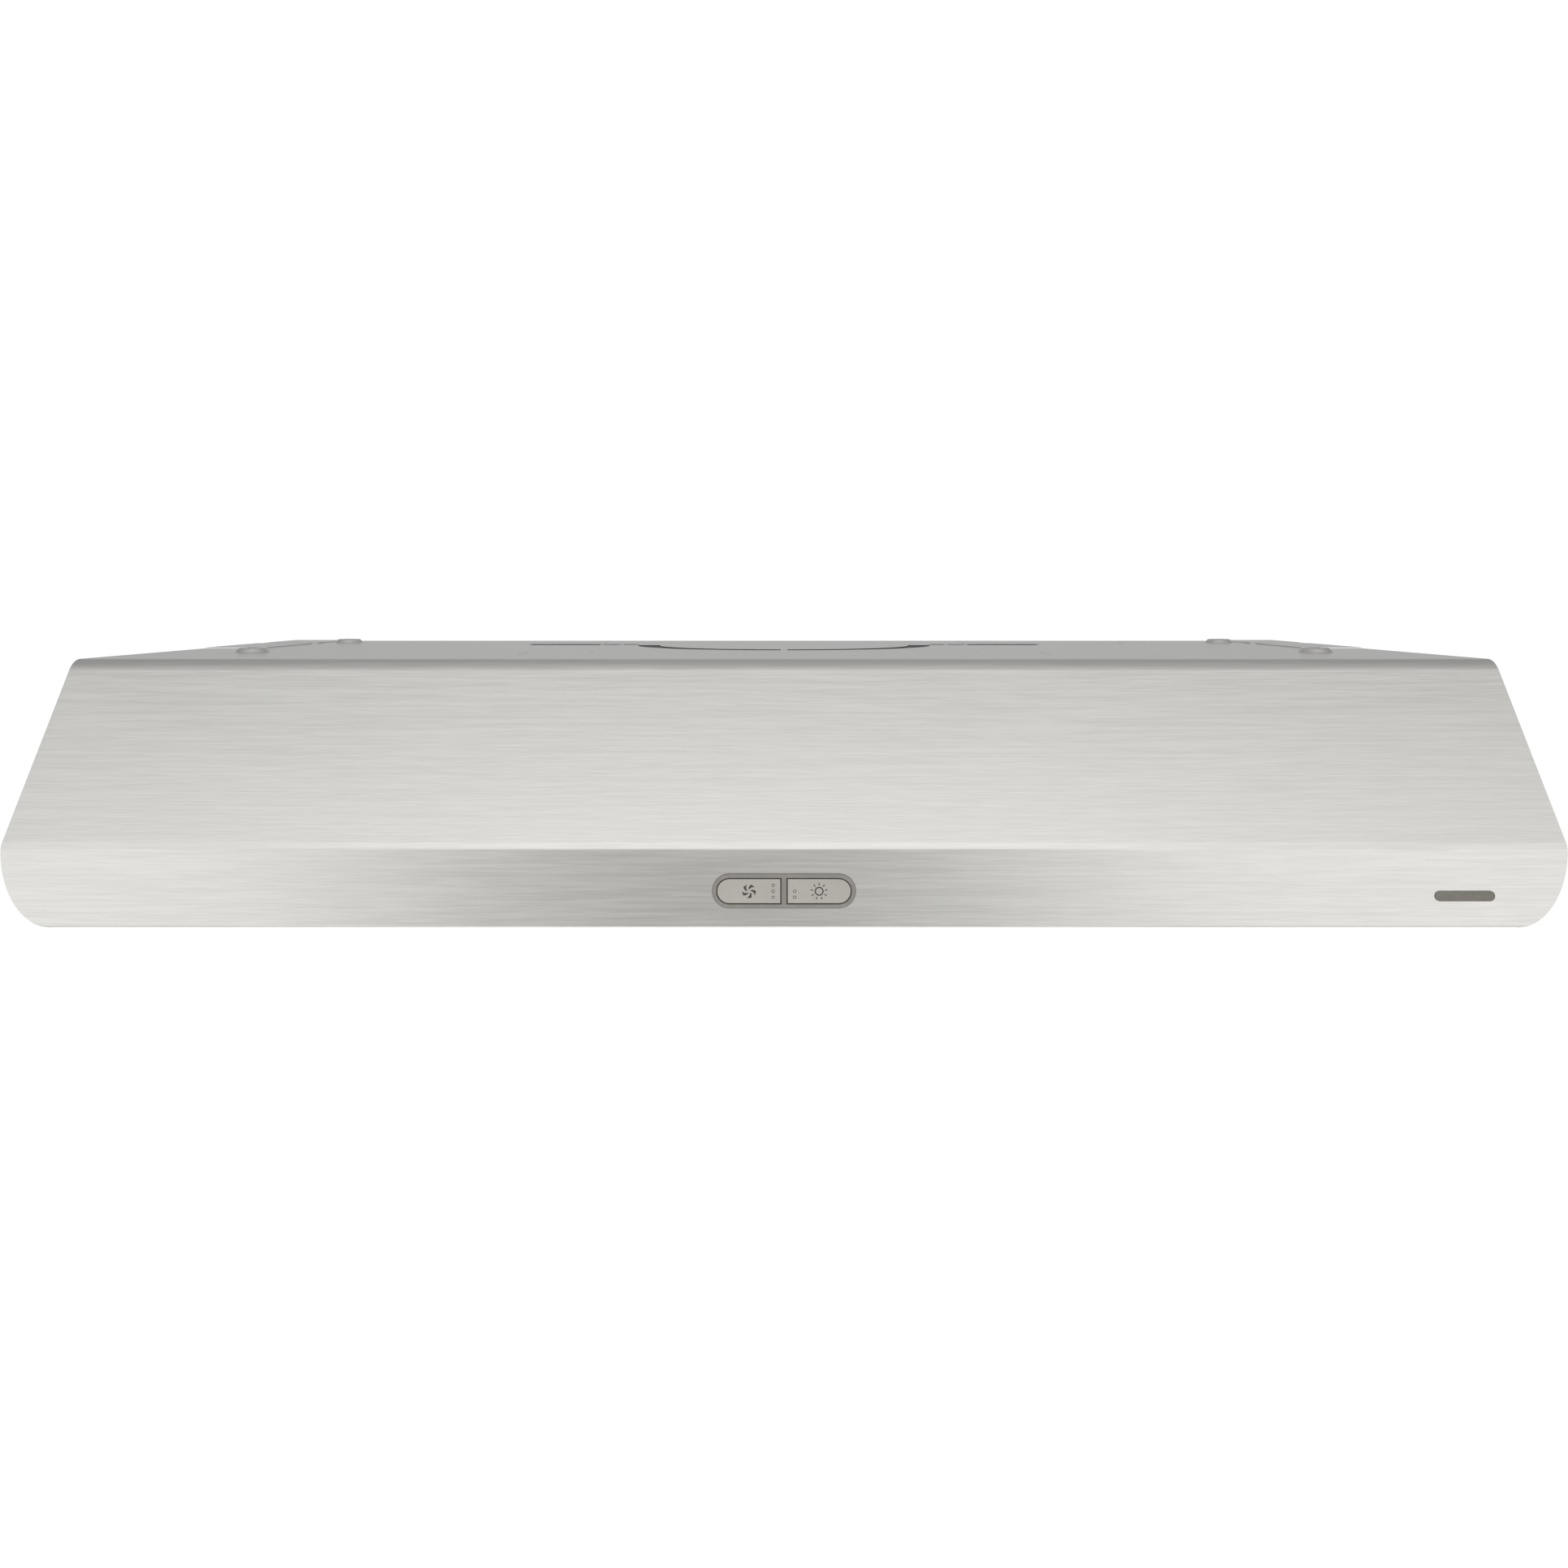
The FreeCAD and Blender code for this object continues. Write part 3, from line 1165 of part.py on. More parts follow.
def control_housing():
    """Box behind the apron that holds the board, with an outlet for the leads."""
    half = HOUSING_ACROSS / 2
    tall = HOUSING_TALL / 2
    wall = HOUSING_WALL
    y_span = (FRONT_Y + SHEET, FRONT_Y + HOUSING_DEPTH)
    box = block((-half, half), y_span, (CONTROL_Z - tall, CONTROL_Z + tall))
    space = block(
        (wall - half, half - wall),
        (y_span[0] + wall, y_span[1] - wall),
        (CONTROL_Z - tall + wall, CONTROL_Z + tall - wall),
    )
    sleeve_half = BEZEL_ACROSS / 2 - BEZEL_OVERLAP
    opening = rearward(
        pill_face((-sleeve_half, sleeve_half), CONTROL_Z, BEZEL_TALL - 2 * BEZEL_OVERLAP),
        (FRONT_Y, y_span[0] + 2 * wall),
    )
    bosses = [
        rod(head + Vector(0, BOARD_THICK, 0), Vector(head.x, y_span[1] - wall, head.z), 2 * SCREW_R)
        for head, way in board_screw_places()
    ]
    holes = screw_holes(board_screw_places())
    outlet_span = (CONTROL_Z, CONTROL_Z + tall + wall)
    outlets = [post(THIN_LEAD_R, x, lead_outlet_y(), outlet_span) for x in lead_outlets_x()]
    ahead_of_rear = block((-half, half), (FRONT_Y, y_span[1] - wall / 2), (BOTTOM_Z, TOP_Z))
    trimmed = [hole.common(ahead_of_rear) for hole in holes]
    return joined([box.cut([space, opening])] + bosses).cut(trimmed + outlets)


def board_screws():
    """Screws that hold the board on the housing's bosses."""
    length = HOUSING_DEPTH - HOUSING_WALL / 2 - BOARD_SETBACK
    return [short_screw(head, way, length) for head, way in board_screw_places()]


def badge_plate():
    """Plain stuck-on plate at the right of the apron."""
    half = BADGE_ACROSS / 2
    middle = BOTTOM_Z + BADGE_RISE
    face = pill_face((BADGE_X - half, BADGE_X + half), middle, BADGE_TALL)
    return rearward(face, (FRONT_Y - BADGE_THICK, FRONT_Y))


# Lamps

def right_lamp_trim():
    """Trim ring under the pan with a sleeve up through the lamp hole."""
    low = PAN_Z - LAMP_TRIM_THICK
    profile = polygon_face((
        (LAMP_GLASS_R, low), (LAMP_TRIM_R, low), (LAMP_TRIM_R, PAN_Z), (LAMP_SLEEVE_R, PAN_Z),
        (LAMP_SLEEVE_R, PAN_Z + LAMP_SLEEVE_TALL), (LAMP_GLASS_R + LAMP_TRIM_THICK, PAN_Z + LAMP_SLEEVE_TALL),
        (LAMP_GLASS_R + LAMP_TRIM_THICK, PAN_Z), (LAMP_GLASS_R, PAN_Z),
    ))
    return turned_about(profile, LAMP_X, LAMP_Y)


def right_lamp_lens():
    """Frosted glass disc that lies on the trim ring."""
    return post(LAMP_GLASS_R + LAMP_TRIM_THICK - FIT_GAP, LAMP_X, LAMP_Y, (PAN_Z, PAN_Z + LENS_THICK))


def right_lamp_can():
    """Metal can over the lamp, with a flange on the pan."""
    foot = PAN_Z + SHEET
    inner = LAMP_HOLE_R
    outer = inner + LAMP_CAN_WALL
    flange_top = foot + LAMP_CAN_WALL
    under_top = LAMP_CAN_Z - LAMP_CAN_WALL
    profile = polygon_face((
        (inner, foot), (LAMP_TRIM_R, foot), (LAMP_TRIM_R, flange_top), (outer, flange_top),
        (outer, LAMP_CAN_Z), (SOCKET_R, LAMP_CAN_Z), (SOCKET_R, under_top), (inner, under_top),
    ))
    return turned_about(profile, LAMP_X, LAMP_Y)


def right_lamp_socket():
    """Lamp holder set in the top of the can, with its lamp disc below."""
    low = LAMP_CAN_Z - SOCKET_TALL / 2
    body = post(SOCKET_R, LAMP_X, LAMP_Y, (low, low + SOCKET_TALL))
    lamp = post(LAMP_HOLE_R * 0.75, LAMP_X, LAMP_Y, (low - LAMP_SLEEVE_TALL, low))
    return joined([body, lamp])


# Wiring

def wiring_box():
    """Three-sided box under the top sheet, closed behind by the back panel."""
    left, right = BOX_X
    span = (BOX_Z, ROOF_Z)
    outer = block((left, right), (BOX_FRONT_Y, BOX_REAR_Y), span)
    inner = block((left + SHEET, right - SHEET), (BOX_FRONT_Y + SHEET, BOX_REAR_Y), span)
    top = (ROOF_Z - SHEET, ROOF_Z)
    flange = block((left - BOX_LIP, right + BOX_LIP), (BOX_FRONT_Y, BOX_REAR_Y), top)
    lip = block(
        (left + SHEET, right - SHEET), (BOX_FRONT_Y + SHEET, BOX_FRONT_Y + BOX_LIP), (BOX_Z, BOX_Z + SHEET)
    )
    box = joined([outer.cut(inner), flange.cut(inner), lip])
    leads = [
        rod(motor_lead_points()[-2], motor_lead_points()[-1], LEAD_R),
        rod(control_lead_points()[-2], control_lead_points()[-1], THIN_LEAD_R),
    ]
    return box.cut(leads + screw_holes(wiring_screw_places()))


def wiring_box_cover():
    """Flat cover under the wiring box."""
    left, right = BOX_X
    cover = block((left, right), (BOX_FRONT_Y, BOX_REAR_Y), (BOX_Z - SHEET, BOX_Z))
    return cover.cut(screw_holes(wiring_screw_places()))


def wiring_screw_places():
    """Head places and directions of the cover's screws."""
    y = BOX_FRONT_Y + BOX_LIP / 2
    quarter = (BOX_X[1] - BOX_X[0]) / 4
    return [(Vector(x, y, BOX_Z - SHEET), (0, 0, 1)) for x in (BOX_X[0] + quarter, BOX_X[1] - quarter)]


def cable_bushing():
    """Bushing in the cable hole, flanged on the inside and flush with the wall face."""
    outer_end = Vector(BUSHING_X, WALL_Y, BUSHING_Z)
    panel = Vector(BUSHING_X, WALL_Y - SHEET, BUSHING_Z)
    inner_end = Vector(BUSHING_X, WALL_Y - BUSHING_LENGTH, BUSHING_Z)
    flange_end = panel - Vector(0, BUSHING_FLANGE, 0)
    body = joined([rod(inner_end, outer_end, BUSHING_R), rod(flange_end, panel, BUSHING_FLANGE_R)])
    return body.cut(rod(inner_end, outer_end, BUSHING_BORE_R))


def wire_connectors():
    """Two twist-on connectors in the wiring box."""
    connectors = []
    for count in (1, 2):
        x = BOX_X[0] + count * (BOX_X[1] - BOX_X[0]) / 3
        base = Vector(x, BOX_FRONT_Y + 2 * BOX_LIP, BOX_Z + CONNECTOR_R)
        way = Vector(0, 1, 0)
        connectors.append(Part.makeCone(CONNECTOR_R, CONNECTOR_TIP_R, CONNECTOR_LENGTH, base, way))
    return connectors


def motor_lead_points():
    """Route of the motor lead, from the motor can to the wiring box."""
    z = BLOWER_TOP_Z - GROMMET_R - GROMMET_CLEAR
    y = BLOWER_Y + SCROLL_STEP / 2 + GROMMET_R + GROMMET_CLEAR
    box_y = BOX_FRONT_Y + 3 * BOX_LIP
    turn_x = DUCT_ACROSS / 2 + BLOWER_WALL + LEAD_BEND
    return [
        Vector(BLOWER_X + 0.8 * MOTOR_R, y, z),
        Vector(turn_x, y, z),
        Vector(turn_x + LEAD_BEND, y + 2 * LEAD_RUN_IN, z),
        Vector(BOX_X[0] - 2 * LEAD_RUN_IN, box_y, z),
        Vector(BOX_X[0] + SHEET, box_y, z),
    ]


def lead_outlets_x():
    """X of the three lead outlets in the control housing: left lamp, control, right lamp."""
    third = HOUSING_ACROSS / 3
    return (-third, 0, third)


def lead_outlet_y():
    """Y of the lead outlets in the control housing."""
    return BOARD_Y - SWITCH_TALL


def lamp_lead_points():
    """Route of the right lamp lead, from the control housing to the lamp socket."""
    x = lead_outlets_x()[2]
    top = CONTROL_Z + HOUSING_TALL / 2 - HOUSING_WALL
    level = LAMP_CAN_Z + SOCKET_TALL / 4
    return [
        Vector(x, lead_outlet_y(), top),
        Vector(x, lead_outlet_y(), top + LEAD_RISE),
        Vector(x + LEAD_RUN_IN, LAMP_Y - LEAD_RUN_IN, level - LEAD_RISE / 2),
        Vector(LAMP_X - SOCKET_R - 2 * LEAD_BEND, LAMP_Y + 2 * THIN_LEAD_R, level),
        Vector(LAMP_X - SOCKET_R - LEAD_RUN_IN, LAMP_Y, level),
        Vector(LAMP_X - SOCKET_R, LAMP_Y, level),
    ]


def control_lead_points():
    """Route of the control lead, from its housing along the right side to the wiring box."""
    top = CONTROL_Z + HOUSING_TALL / 2 - HOUSING_WALL
    level = LAMP_CAN_Z + SOCKET_TALL
    side_x = (BAY_OUTER_X + RIM_X) / 2
    box_y = BOX_FRONT_Y + 4 * BOX_LIP
    return [
        Vector(0, lead_outlet_y(), top),
        Vector(0, lead_outlet_y(), top + LEAD_RISE),
        Vector(LEAD_RUN_IN, BAY_FRONT_Y - LEAD_BEND, level),
        Vector(side_x - 2 * LEAD_BEND, BAY_FRONT_Y - LEAD_RUN_IN, level),
        Vector(side_x, BAY_FRONT_Y + 2 * LEAD_BEND, level),
        Vector(side_x, box_y - 2 * LEAD_BEND - BOX_LIP, level + 5 * THIN_LEAD_R),
        Vector(side_x - 2 * THIN_LEAD_R, box_y, BOX_Z + BOX_TALL / 2),
        Vector(BOX_X[1] - SHEET, box_y, BOX_Z + BOX_TALL / 2),
    ]


def lead_grommet():
    """Grommet where the motor lead leaves the scroll."""
    start = motor_lead_points()[0]
    wall_x = DUCT_ACROSS / 2
    y = start.y
    z = start.z
    inner = Vector(wall_x - (GROMMET_LENGTH - BLOWER_WALL) / 2, y, z)
    outer = Vector(wall_x + BLOWER_WALL + (GROMMET_LENGTH - BLOWER_WALL) / 2, y, z)
    body = rod(inner, outer, GROMMET_R)
    groove_r = GROMMET_R - GROMMET_GROOVE
    groove = sleeve(
        Vector(wall_x, y, z), Vector(wall_x + BLOWER_WALL, y, z), GROMMET_R + GROMMET_GROOVE, groove_r
    )
    return body.cut([groove, rod(inner, outer, LEAD_R)])


def main():
    """Build every node and write it."""
    os.makedirs("parts", exist_ok=True)

    export("canopy_shell", canopy_shell())
    export("back_panel", back_panel())
    export("bottom_pan", bottom_pan())
    export("sheet_screws", *pan_screws(), *[screw(head, way) for head, way in wiring_screw_places()])
    export("filter_clips", *filter_clips())

    paired = {
        "end_panel": right_end_panel,
        "filter_frame": right_filter_frame,
        "filter_mesh": right_filter_mesh,
        "pull_staple": right_pull_staple,
        "pull_ring": right_pull_ring,
        "lamp_trim": right_lamp_trim,
        "lamp_lens": right_lamp_lens,
        "lamp_can": right_lamp_can,
        "lamp_socket": right_lamp_socket,
        "lamp_lead": lambda: lead(lamp_lead_points(), THIN_LEAD_R),
    }
    for name, make in paired.items():
        right = make()
        export(f"right_{name}", right)
        export(f"left_{name}", mirrored(right))

    export("duct_collar", duct_collar())
    export("collar_screws", *[short_screw(head, way, 2 * SHEET) for head, way in collar_screw_places()])
    export("damper_pin", damper_pin())
    export("damper_flap", damper_flap())

    export("blower_top_plate", blower_top_plate())
    export("scroll_wall", scroll_wall())
    export("blower_inlet_plate", blower_inlet_plate())
    export("blower_screws", *blower_screws(), *motor_screws())
    export("blower_wheel", blower_wheel())
    export("wheel_nut", wheel_nut())
    export("motor_shaft", motor_shaft())
    export("motor_rotor", wheel_ring(SHAFT_R, ROTOR_R, motor_core_span()))
    export("motor_stator", wheel_ring(ROTOR_R + AIR_GAP, MOTOR_R - MOTOR_WALL, motor_core_span()))
    export("motor_can", motor_can())
    export("motor_lid", motor_lid())
    export("motor_bearings", *motor_bearings())
    export("motor_capacitor", motor_capacitor())
    export("capacitor_strap", capacitor_strap())

    export("control_bezel", control_bezel())
    export("fan_button", control_key(-1))
    export("light_button", control_key(1))
    export("fan_level_dots", *level_dots(-1))
    export("light_level_dots", *level_dots(1))
    export("button_switches", *button_switches())
    export("control_board", control_board())
    export("control_housing", control_housing())
    export("board_screws", *board_screws())
    export("badge_plate", badge_plate())

    export("wiring_box", wiring_box())
    export("wiring_box_cover", wiring_box_cover())
    export("cable_bushing", cable_bushing())
    export("wire_connectors", *wire_connectors())
    export("motor_lead", lead(motor_lead_points(), LEAD_R))
    export("control_lead", lead(control_lead_points(), THIN_LEAD_R))
    export("lead_grommet", lead_grommet())


main()
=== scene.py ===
"""Looks of the under cabinet range hood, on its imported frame.

Sizes are in millimetres and every mesh is written in metres. +Z is up and the front faces -Y.
Left and right are as seen from the front.
"""

import json
import logging
import math
from collections.abc import Callable
from dataclasses import dataclass
from enum import Enum

import bmesh
import bpy
from mathutils import Matrix, Vector

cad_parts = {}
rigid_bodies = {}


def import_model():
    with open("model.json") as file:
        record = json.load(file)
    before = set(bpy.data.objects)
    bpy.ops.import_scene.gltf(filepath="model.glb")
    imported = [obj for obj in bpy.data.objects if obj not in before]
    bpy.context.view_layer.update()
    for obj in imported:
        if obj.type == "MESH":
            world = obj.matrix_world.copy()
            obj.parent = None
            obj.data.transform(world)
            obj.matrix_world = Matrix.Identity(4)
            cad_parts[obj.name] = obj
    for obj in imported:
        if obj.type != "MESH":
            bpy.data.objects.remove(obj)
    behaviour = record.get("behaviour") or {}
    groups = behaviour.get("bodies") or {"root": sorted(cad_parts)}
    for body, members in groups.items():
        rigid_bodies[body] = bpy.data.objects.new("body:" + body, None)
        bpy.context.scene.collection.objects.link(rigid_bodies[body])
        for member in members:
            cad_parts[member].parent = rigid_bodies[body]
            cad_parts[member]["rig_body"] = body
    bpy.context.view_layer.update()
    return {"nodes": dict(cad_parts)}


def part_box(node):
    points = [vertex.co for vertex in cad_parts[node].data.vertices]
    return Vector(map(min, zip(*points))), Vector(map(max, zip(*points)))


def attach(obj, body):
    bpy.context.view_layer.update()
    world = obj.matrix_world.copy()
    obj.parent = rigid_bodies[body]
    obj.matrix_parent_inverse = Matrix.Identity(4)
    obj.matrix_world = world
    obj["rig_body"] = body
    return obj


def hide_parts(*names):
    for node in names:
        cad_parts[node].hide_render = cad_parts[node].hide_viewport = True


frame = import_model()

Pair = tuple[float, float]
Triple = tuple[float, float, float]
Outline = list[Pair]
Piece = bpy.types.Object

MM = 0.001
log = logging.getLogger("range_hood")


# Node trees

class Wiring:
    """Adds and joins nodes in one tree."""

    def __init__(self, tree: bpy.types.NodeTree) -> None:
        """Take hold of a tree.

        Args:
            tree: the shader or geometry tree to build in.
        """
        self.tree = tree

    def add(self, kind: str, **settings: object) -> bpy.types.Node:
        """Add a node.

        Args:
            kind: the node's type name.
            settings: properties of the node.

        Returns:
            The new node.
        """
        node = self.tree.nodes.new(kind)
        for name, value in settings.items():
            setattr(node, name, value)
        return node

    def feed(self, node: bpy.types.Node, **values: object) -> bpy.types.Node:
        """Give a node's inputs values or links.

        Args:
            node: the node to feed.
            values: one per input, with _ for a space in its name; _0, _1 pick inputs by place.

        Returns:
            The same node.
        """
        for name, value in values.items():
            place = int(name[1:]) if name[1:].isdigit() else name.replace("_", " ")
            socket = node.inputs[place]
            if isinstance(value, bpy.types.NodeSocket):
                self.tree.links.new(value, socket)
            else:
                socket.default_value = value
        return node

    def maths(self, operation: str, first: object, second: object = 0.0) -> bpy.types.NodeSocket:
        """Result of one Math node."""
        return self.feed(self.add("ShaderNodeMath", operation=operation), _0=first, _1=second).outputs[0]

    def spread(self, value: object, low: float, high: float, to_low: float,
               to_high: float) -> bpy.types.NodeSocket:
        """A value taken smoothly from one range to another, and held at its ends."""
        node = self.add("ShaderNodeMapRange", interpolation_type="SMOOTHSTEP")
        return self.feed(node, _0=value, _1=low, _2=high, _3=to_low, _4=to_high).outputs[0]

    def mix(self, share: object, first: object, second: object) -> bpy.types.NodeSocket:
        """Colour between two colours."""
        node = self.add("ShaderNodeMix", data_type="RGBA")
        return self.feed(node, _0=share, _6=first, _7=second).outputs[2]


def new_group(name: str, kind: str, inputs: dict[str, tuple[str, object]], outputs: dict[str, str]) -> Wiring:
    """Empty node group with named sockets.

    Args:
        name: the group's name.
        kind: ShaderNodeTree or GeometryNodeTree.
        inputs: socket type and default value of each input.
        outputs: socket type of each output.

    Returns:
        The wiring of the new group.
    """
    tree = bpy.data.node_groups.new(name, kind)
    for label, (socket_type, value) in inputs.items():
        socket = tree.interface.new_socket(name=label, in_out="INPUT", socket_type=socket_type)
        if value is not None:
            socket.default_value = value
    for label, socket_type in outputs.items():
        tree.interface.new_socket(name=label, in_out="OUTPUT", socket_type=socket_type)
    return Wiring(tree)


class SurfaceEffects:
    """Shader groups that several finishes share."""

    def __init__(self) -> None:
        """Build every group once."""
        self.grain = self._grain()
        self.mottle = self._mottle()
        self.spangle = self._spangle()
        self.wear = self._wear()

    def _grain(self) -> bpy.types.NodeTree:
        """Long fine streaks of a brushed sheet."""
        wiring = new_group("brushed_grain", "ShaderNodeTree",
                           {"Stretch": ("NodeSocketVector", (40.0, 1300.0, 1300.0))},
                           {"Streaks": "NodeSocketFloat", "Clouds": "NodeSocketFloat"})
        given = wiring.add("NodeGroupInput").outputs[0]
        place = wiring.add("ShaderNodeTexCoord").outputs["Object"]
        fine = wiring.feed(wiring.add("ShaderNodeVectorMath", operation="MULTIPLY"), _0=place, _1=given)
        streaks = wiring.feed(wiring.add("ShaderNodeTexNoise"), Vector=fine.outputs[0], Scale=1.0, Detail=3.0)
        broad = wiring.feed(wiring.add("ShaderNodeVectorMath", operation="SCALE"), _0=fine.outputs[0], Scale=0.3)
        clouds = wiring.feed(wiring.add("ShaderNodeTexNoise"), Vector=broad.outputs[0], Scale=1.0, Detail=4.0)
        end = wiring.add("NodeGroupOutput")
        wiring.feed(end, Streaks=streaks.outputs[0], Clouds=clouds.outputs[0])
        return wiring.tree

    def _mottle(self) -> bpy.types.NodeTree:
        """Fine skin of a moulded or painted face, and slow changes over it."""
        wiring = new_group("skin_mottle", "ShaderNodeTree", {"Fineness": ("NodeSocketFloat", 1800.0)},
                           {"Skin": "NodeSocketFloat", "Clouds": "NodeSocketFloat"})
        given = wiring.add("NodeGroupInput").outputs[0]
        place = wiring.add("ShaderNodeTexCoord").outputs["Object"]
        skin = wiring.feed(wiring.add("ShaderNodeTexNoise"), Vector=place, Scale=given, Detail=2.0)
        clouds = wiring.feed(wiring.add("ShaderNodeTexNoise"), Vector=place, Scale=45.0, Detail=3.0)
        wiring.feed(wiring.add("NodeGroupOutput"), Skin=skin.outputs[0], Clouds=clouds.outputs[0])
        return wiring.tree

    def _spangle(self) -> bpy.types.NodeTree:
        """Crystal flakes of zinc coated sheet."""
        wiring = new_group("zinc_spangle", "ShaderNodeTree", {"Size": ("NodeSocketFloat", 160.0)},
                           {"Flakes": "NodeSocketFloat"})
        given = wiring.add("NodeGroupInput").outputs[0]
        place = wiring.add("ShaderNodeTexCoord").outputs["Object"]
        cells = wiring.feed(wiring.add("ShaderNodeTexVoronoi"), Vector=place, Scale=given, Randomness=1.0)
        flat = wiring.add("ShaderNodeSeparateColor")
        wiring.feed(flat, _0=cells.outputs["Color"])
        wiring.feed(wiring.add("NodeGroupOutput"), Flakes=flat.outputs[0])
        return wiring.tree

    def _wear(self) -> bpy.types.NodeTree:
        """Rubbed edges, broken up by a noise."""
        wiring = new_group("edge_wear", "ShaderNodeTree", {"Reach": ("NodeSocketFloat", 0.08)},
                           {"Edges": "NodeSocketFloat"})
        given = wiring.add("NodeGroupInput").outputs[0]
        sharpness = wiring.maths("SUBTRACT", wiring.add("ShaderNodeNewGeometry").outputs["Pointiness"], 0.5)
        share = wiring.maths("DIVIDE", sharpness, given)
        place = wiring.add("ShaderNodeTexCoord").outputs["Object"]
        noise = wiring.feed(wiring.add("ShaderNodeTexNoise"), Vector=place, Scale=300.0, Detail=4.0)
        broken = wiring.maths("MULTIPLY", share, wiring.spread(noise.outputs[0], 0.35, 0.65, 0.2, 1.0))
        wiring.feed(wiring.add("NodeGroupOutput"), Edges=wiring.spread(broken, 0.0, 1.0, 0.0, 1.0))
        return wiring.tree


class Surface(Enum):
    """What a finish's fine detail is."""

    BRUSHED = "brushed"
    SKIN = "skin"
    SPANGLED = "spangled"


EFFECTS = SurfaceEffects()


@dataclass(frozen=True)
class Finish:
    """A material: its colour, its gloss and the detail of its surface."""

    name: str
    colour: Triple
    metallic: float = 0.0
    roughness: float = 0.45
    surface: Surface = Surface.SKIN
    stretch: Triple = (40.0, 1300.0, 1300.0)
    fineness: float = 1800.0
    colour_swing: float = 0.04
    roughness_swing: float = 0.05
    bump: float = 0.03
    worn: float = 0.2
    worn_colour: Triple = (0.75, 0.74, 0.72)
    coat: float = 0.0
    transmission: float = 0.0
    emission: float = 0.0

    def material(self) -> bpy.types.Material:
        """The finish's material, made on first use.

        Returns:
            A material whose colour, roughness and normal change over the surface.
        """
        title = f"{self.name}_finish"
        if title in bpy.data.materials:
            return bpy.data.materials[title]
        material = bpy.data.materials.new(title)
        material.use_nodes = True
        material.diffuse_color = (*self.colour, 1.0)
        wiring = Wiring(material.node_tree)
        shader = material.node_tree.nodes["Principled BSDF"]
        fine, broad = self._detail(wiring)
        darker = tuple(part * (1 - self.colour_swing) for part in self.colour)
        lighter = tuple(min(1.0, part * (1 + self.colour_swing)) for part in self.colour)
        blend = wiring.maths("ADD", wiring.maths("MULTIPLY", fine, 0.5), wiring.maths("MULTIPLY", broad, 0.5))
        tint = wiring.mix(wiring.spread(blend, 0.3, 0.7, 0.0, 1.0), (*darker, 1.0), (*lighter, 1.0))
        if self.worn > 0:
            edges = wiring.add("ShaderNodeGroup", node_tree=EFFECTS.wear)
            share = wiring.maths("MULTIPLY", edges.outputs["Edges"], self.worn)
            tint = wiring.mix(share, tint, (*self.worn_colour, 1.0))
        gloss = wiring.spread(broad, 0.25, 0.75, self.roughness - self.roughness_swing,
                              self.roughness + self.roughness_swing)
        raised = wiring.feed(wiring.add("ShaderNodeBump"), Strength=self.bump, Distance=0.0004, Height=fine)
        wiring.feed(shader, Base_Color=tint, Roughness=gloss, Normal=raised.outputs[0])
        wiring.feed(shader, Metallic=self.metallic, Coat_Weight=self.coat, Transmission_Weight=self.transmission)
        if self.emission > 0:
            wiring.feed(shader, Emission_Color=tint, Emission_Strength=self.emission)
        return material

    def _detail(self, wiring: Wiring) -> tuple[bpy.types.NodeSocket, bpy.types.NodeSocket]:
        """Fine and broad values of the surface's own group."""
        if self.surface is Surface.BRUSHED:
            group = wiring.add("ShaderNodeGroup", node_tree=EFFECTS.grain)
            wiring.feed(group, Stretch=self.stretch)
            return group.outputs["Streaks"], group.outputs["Clouds"]
        mottle = wiring.add("ShaderNodeGroup", node_tree=EFFECTS.mottle)
        wiring.feed(mottle, Fineness=self.fineness)
        if self.surface is Surface.SPANGLED:
            flakes = wiring.add("ShaderNodeGroup", node_tree=EFFECTS.spangle)
            return mottle.outputs["Skin"], flakes.outputs["Flakes"]
        return mottle.outputs["Skin"], mottle.outputs["Clouds"]


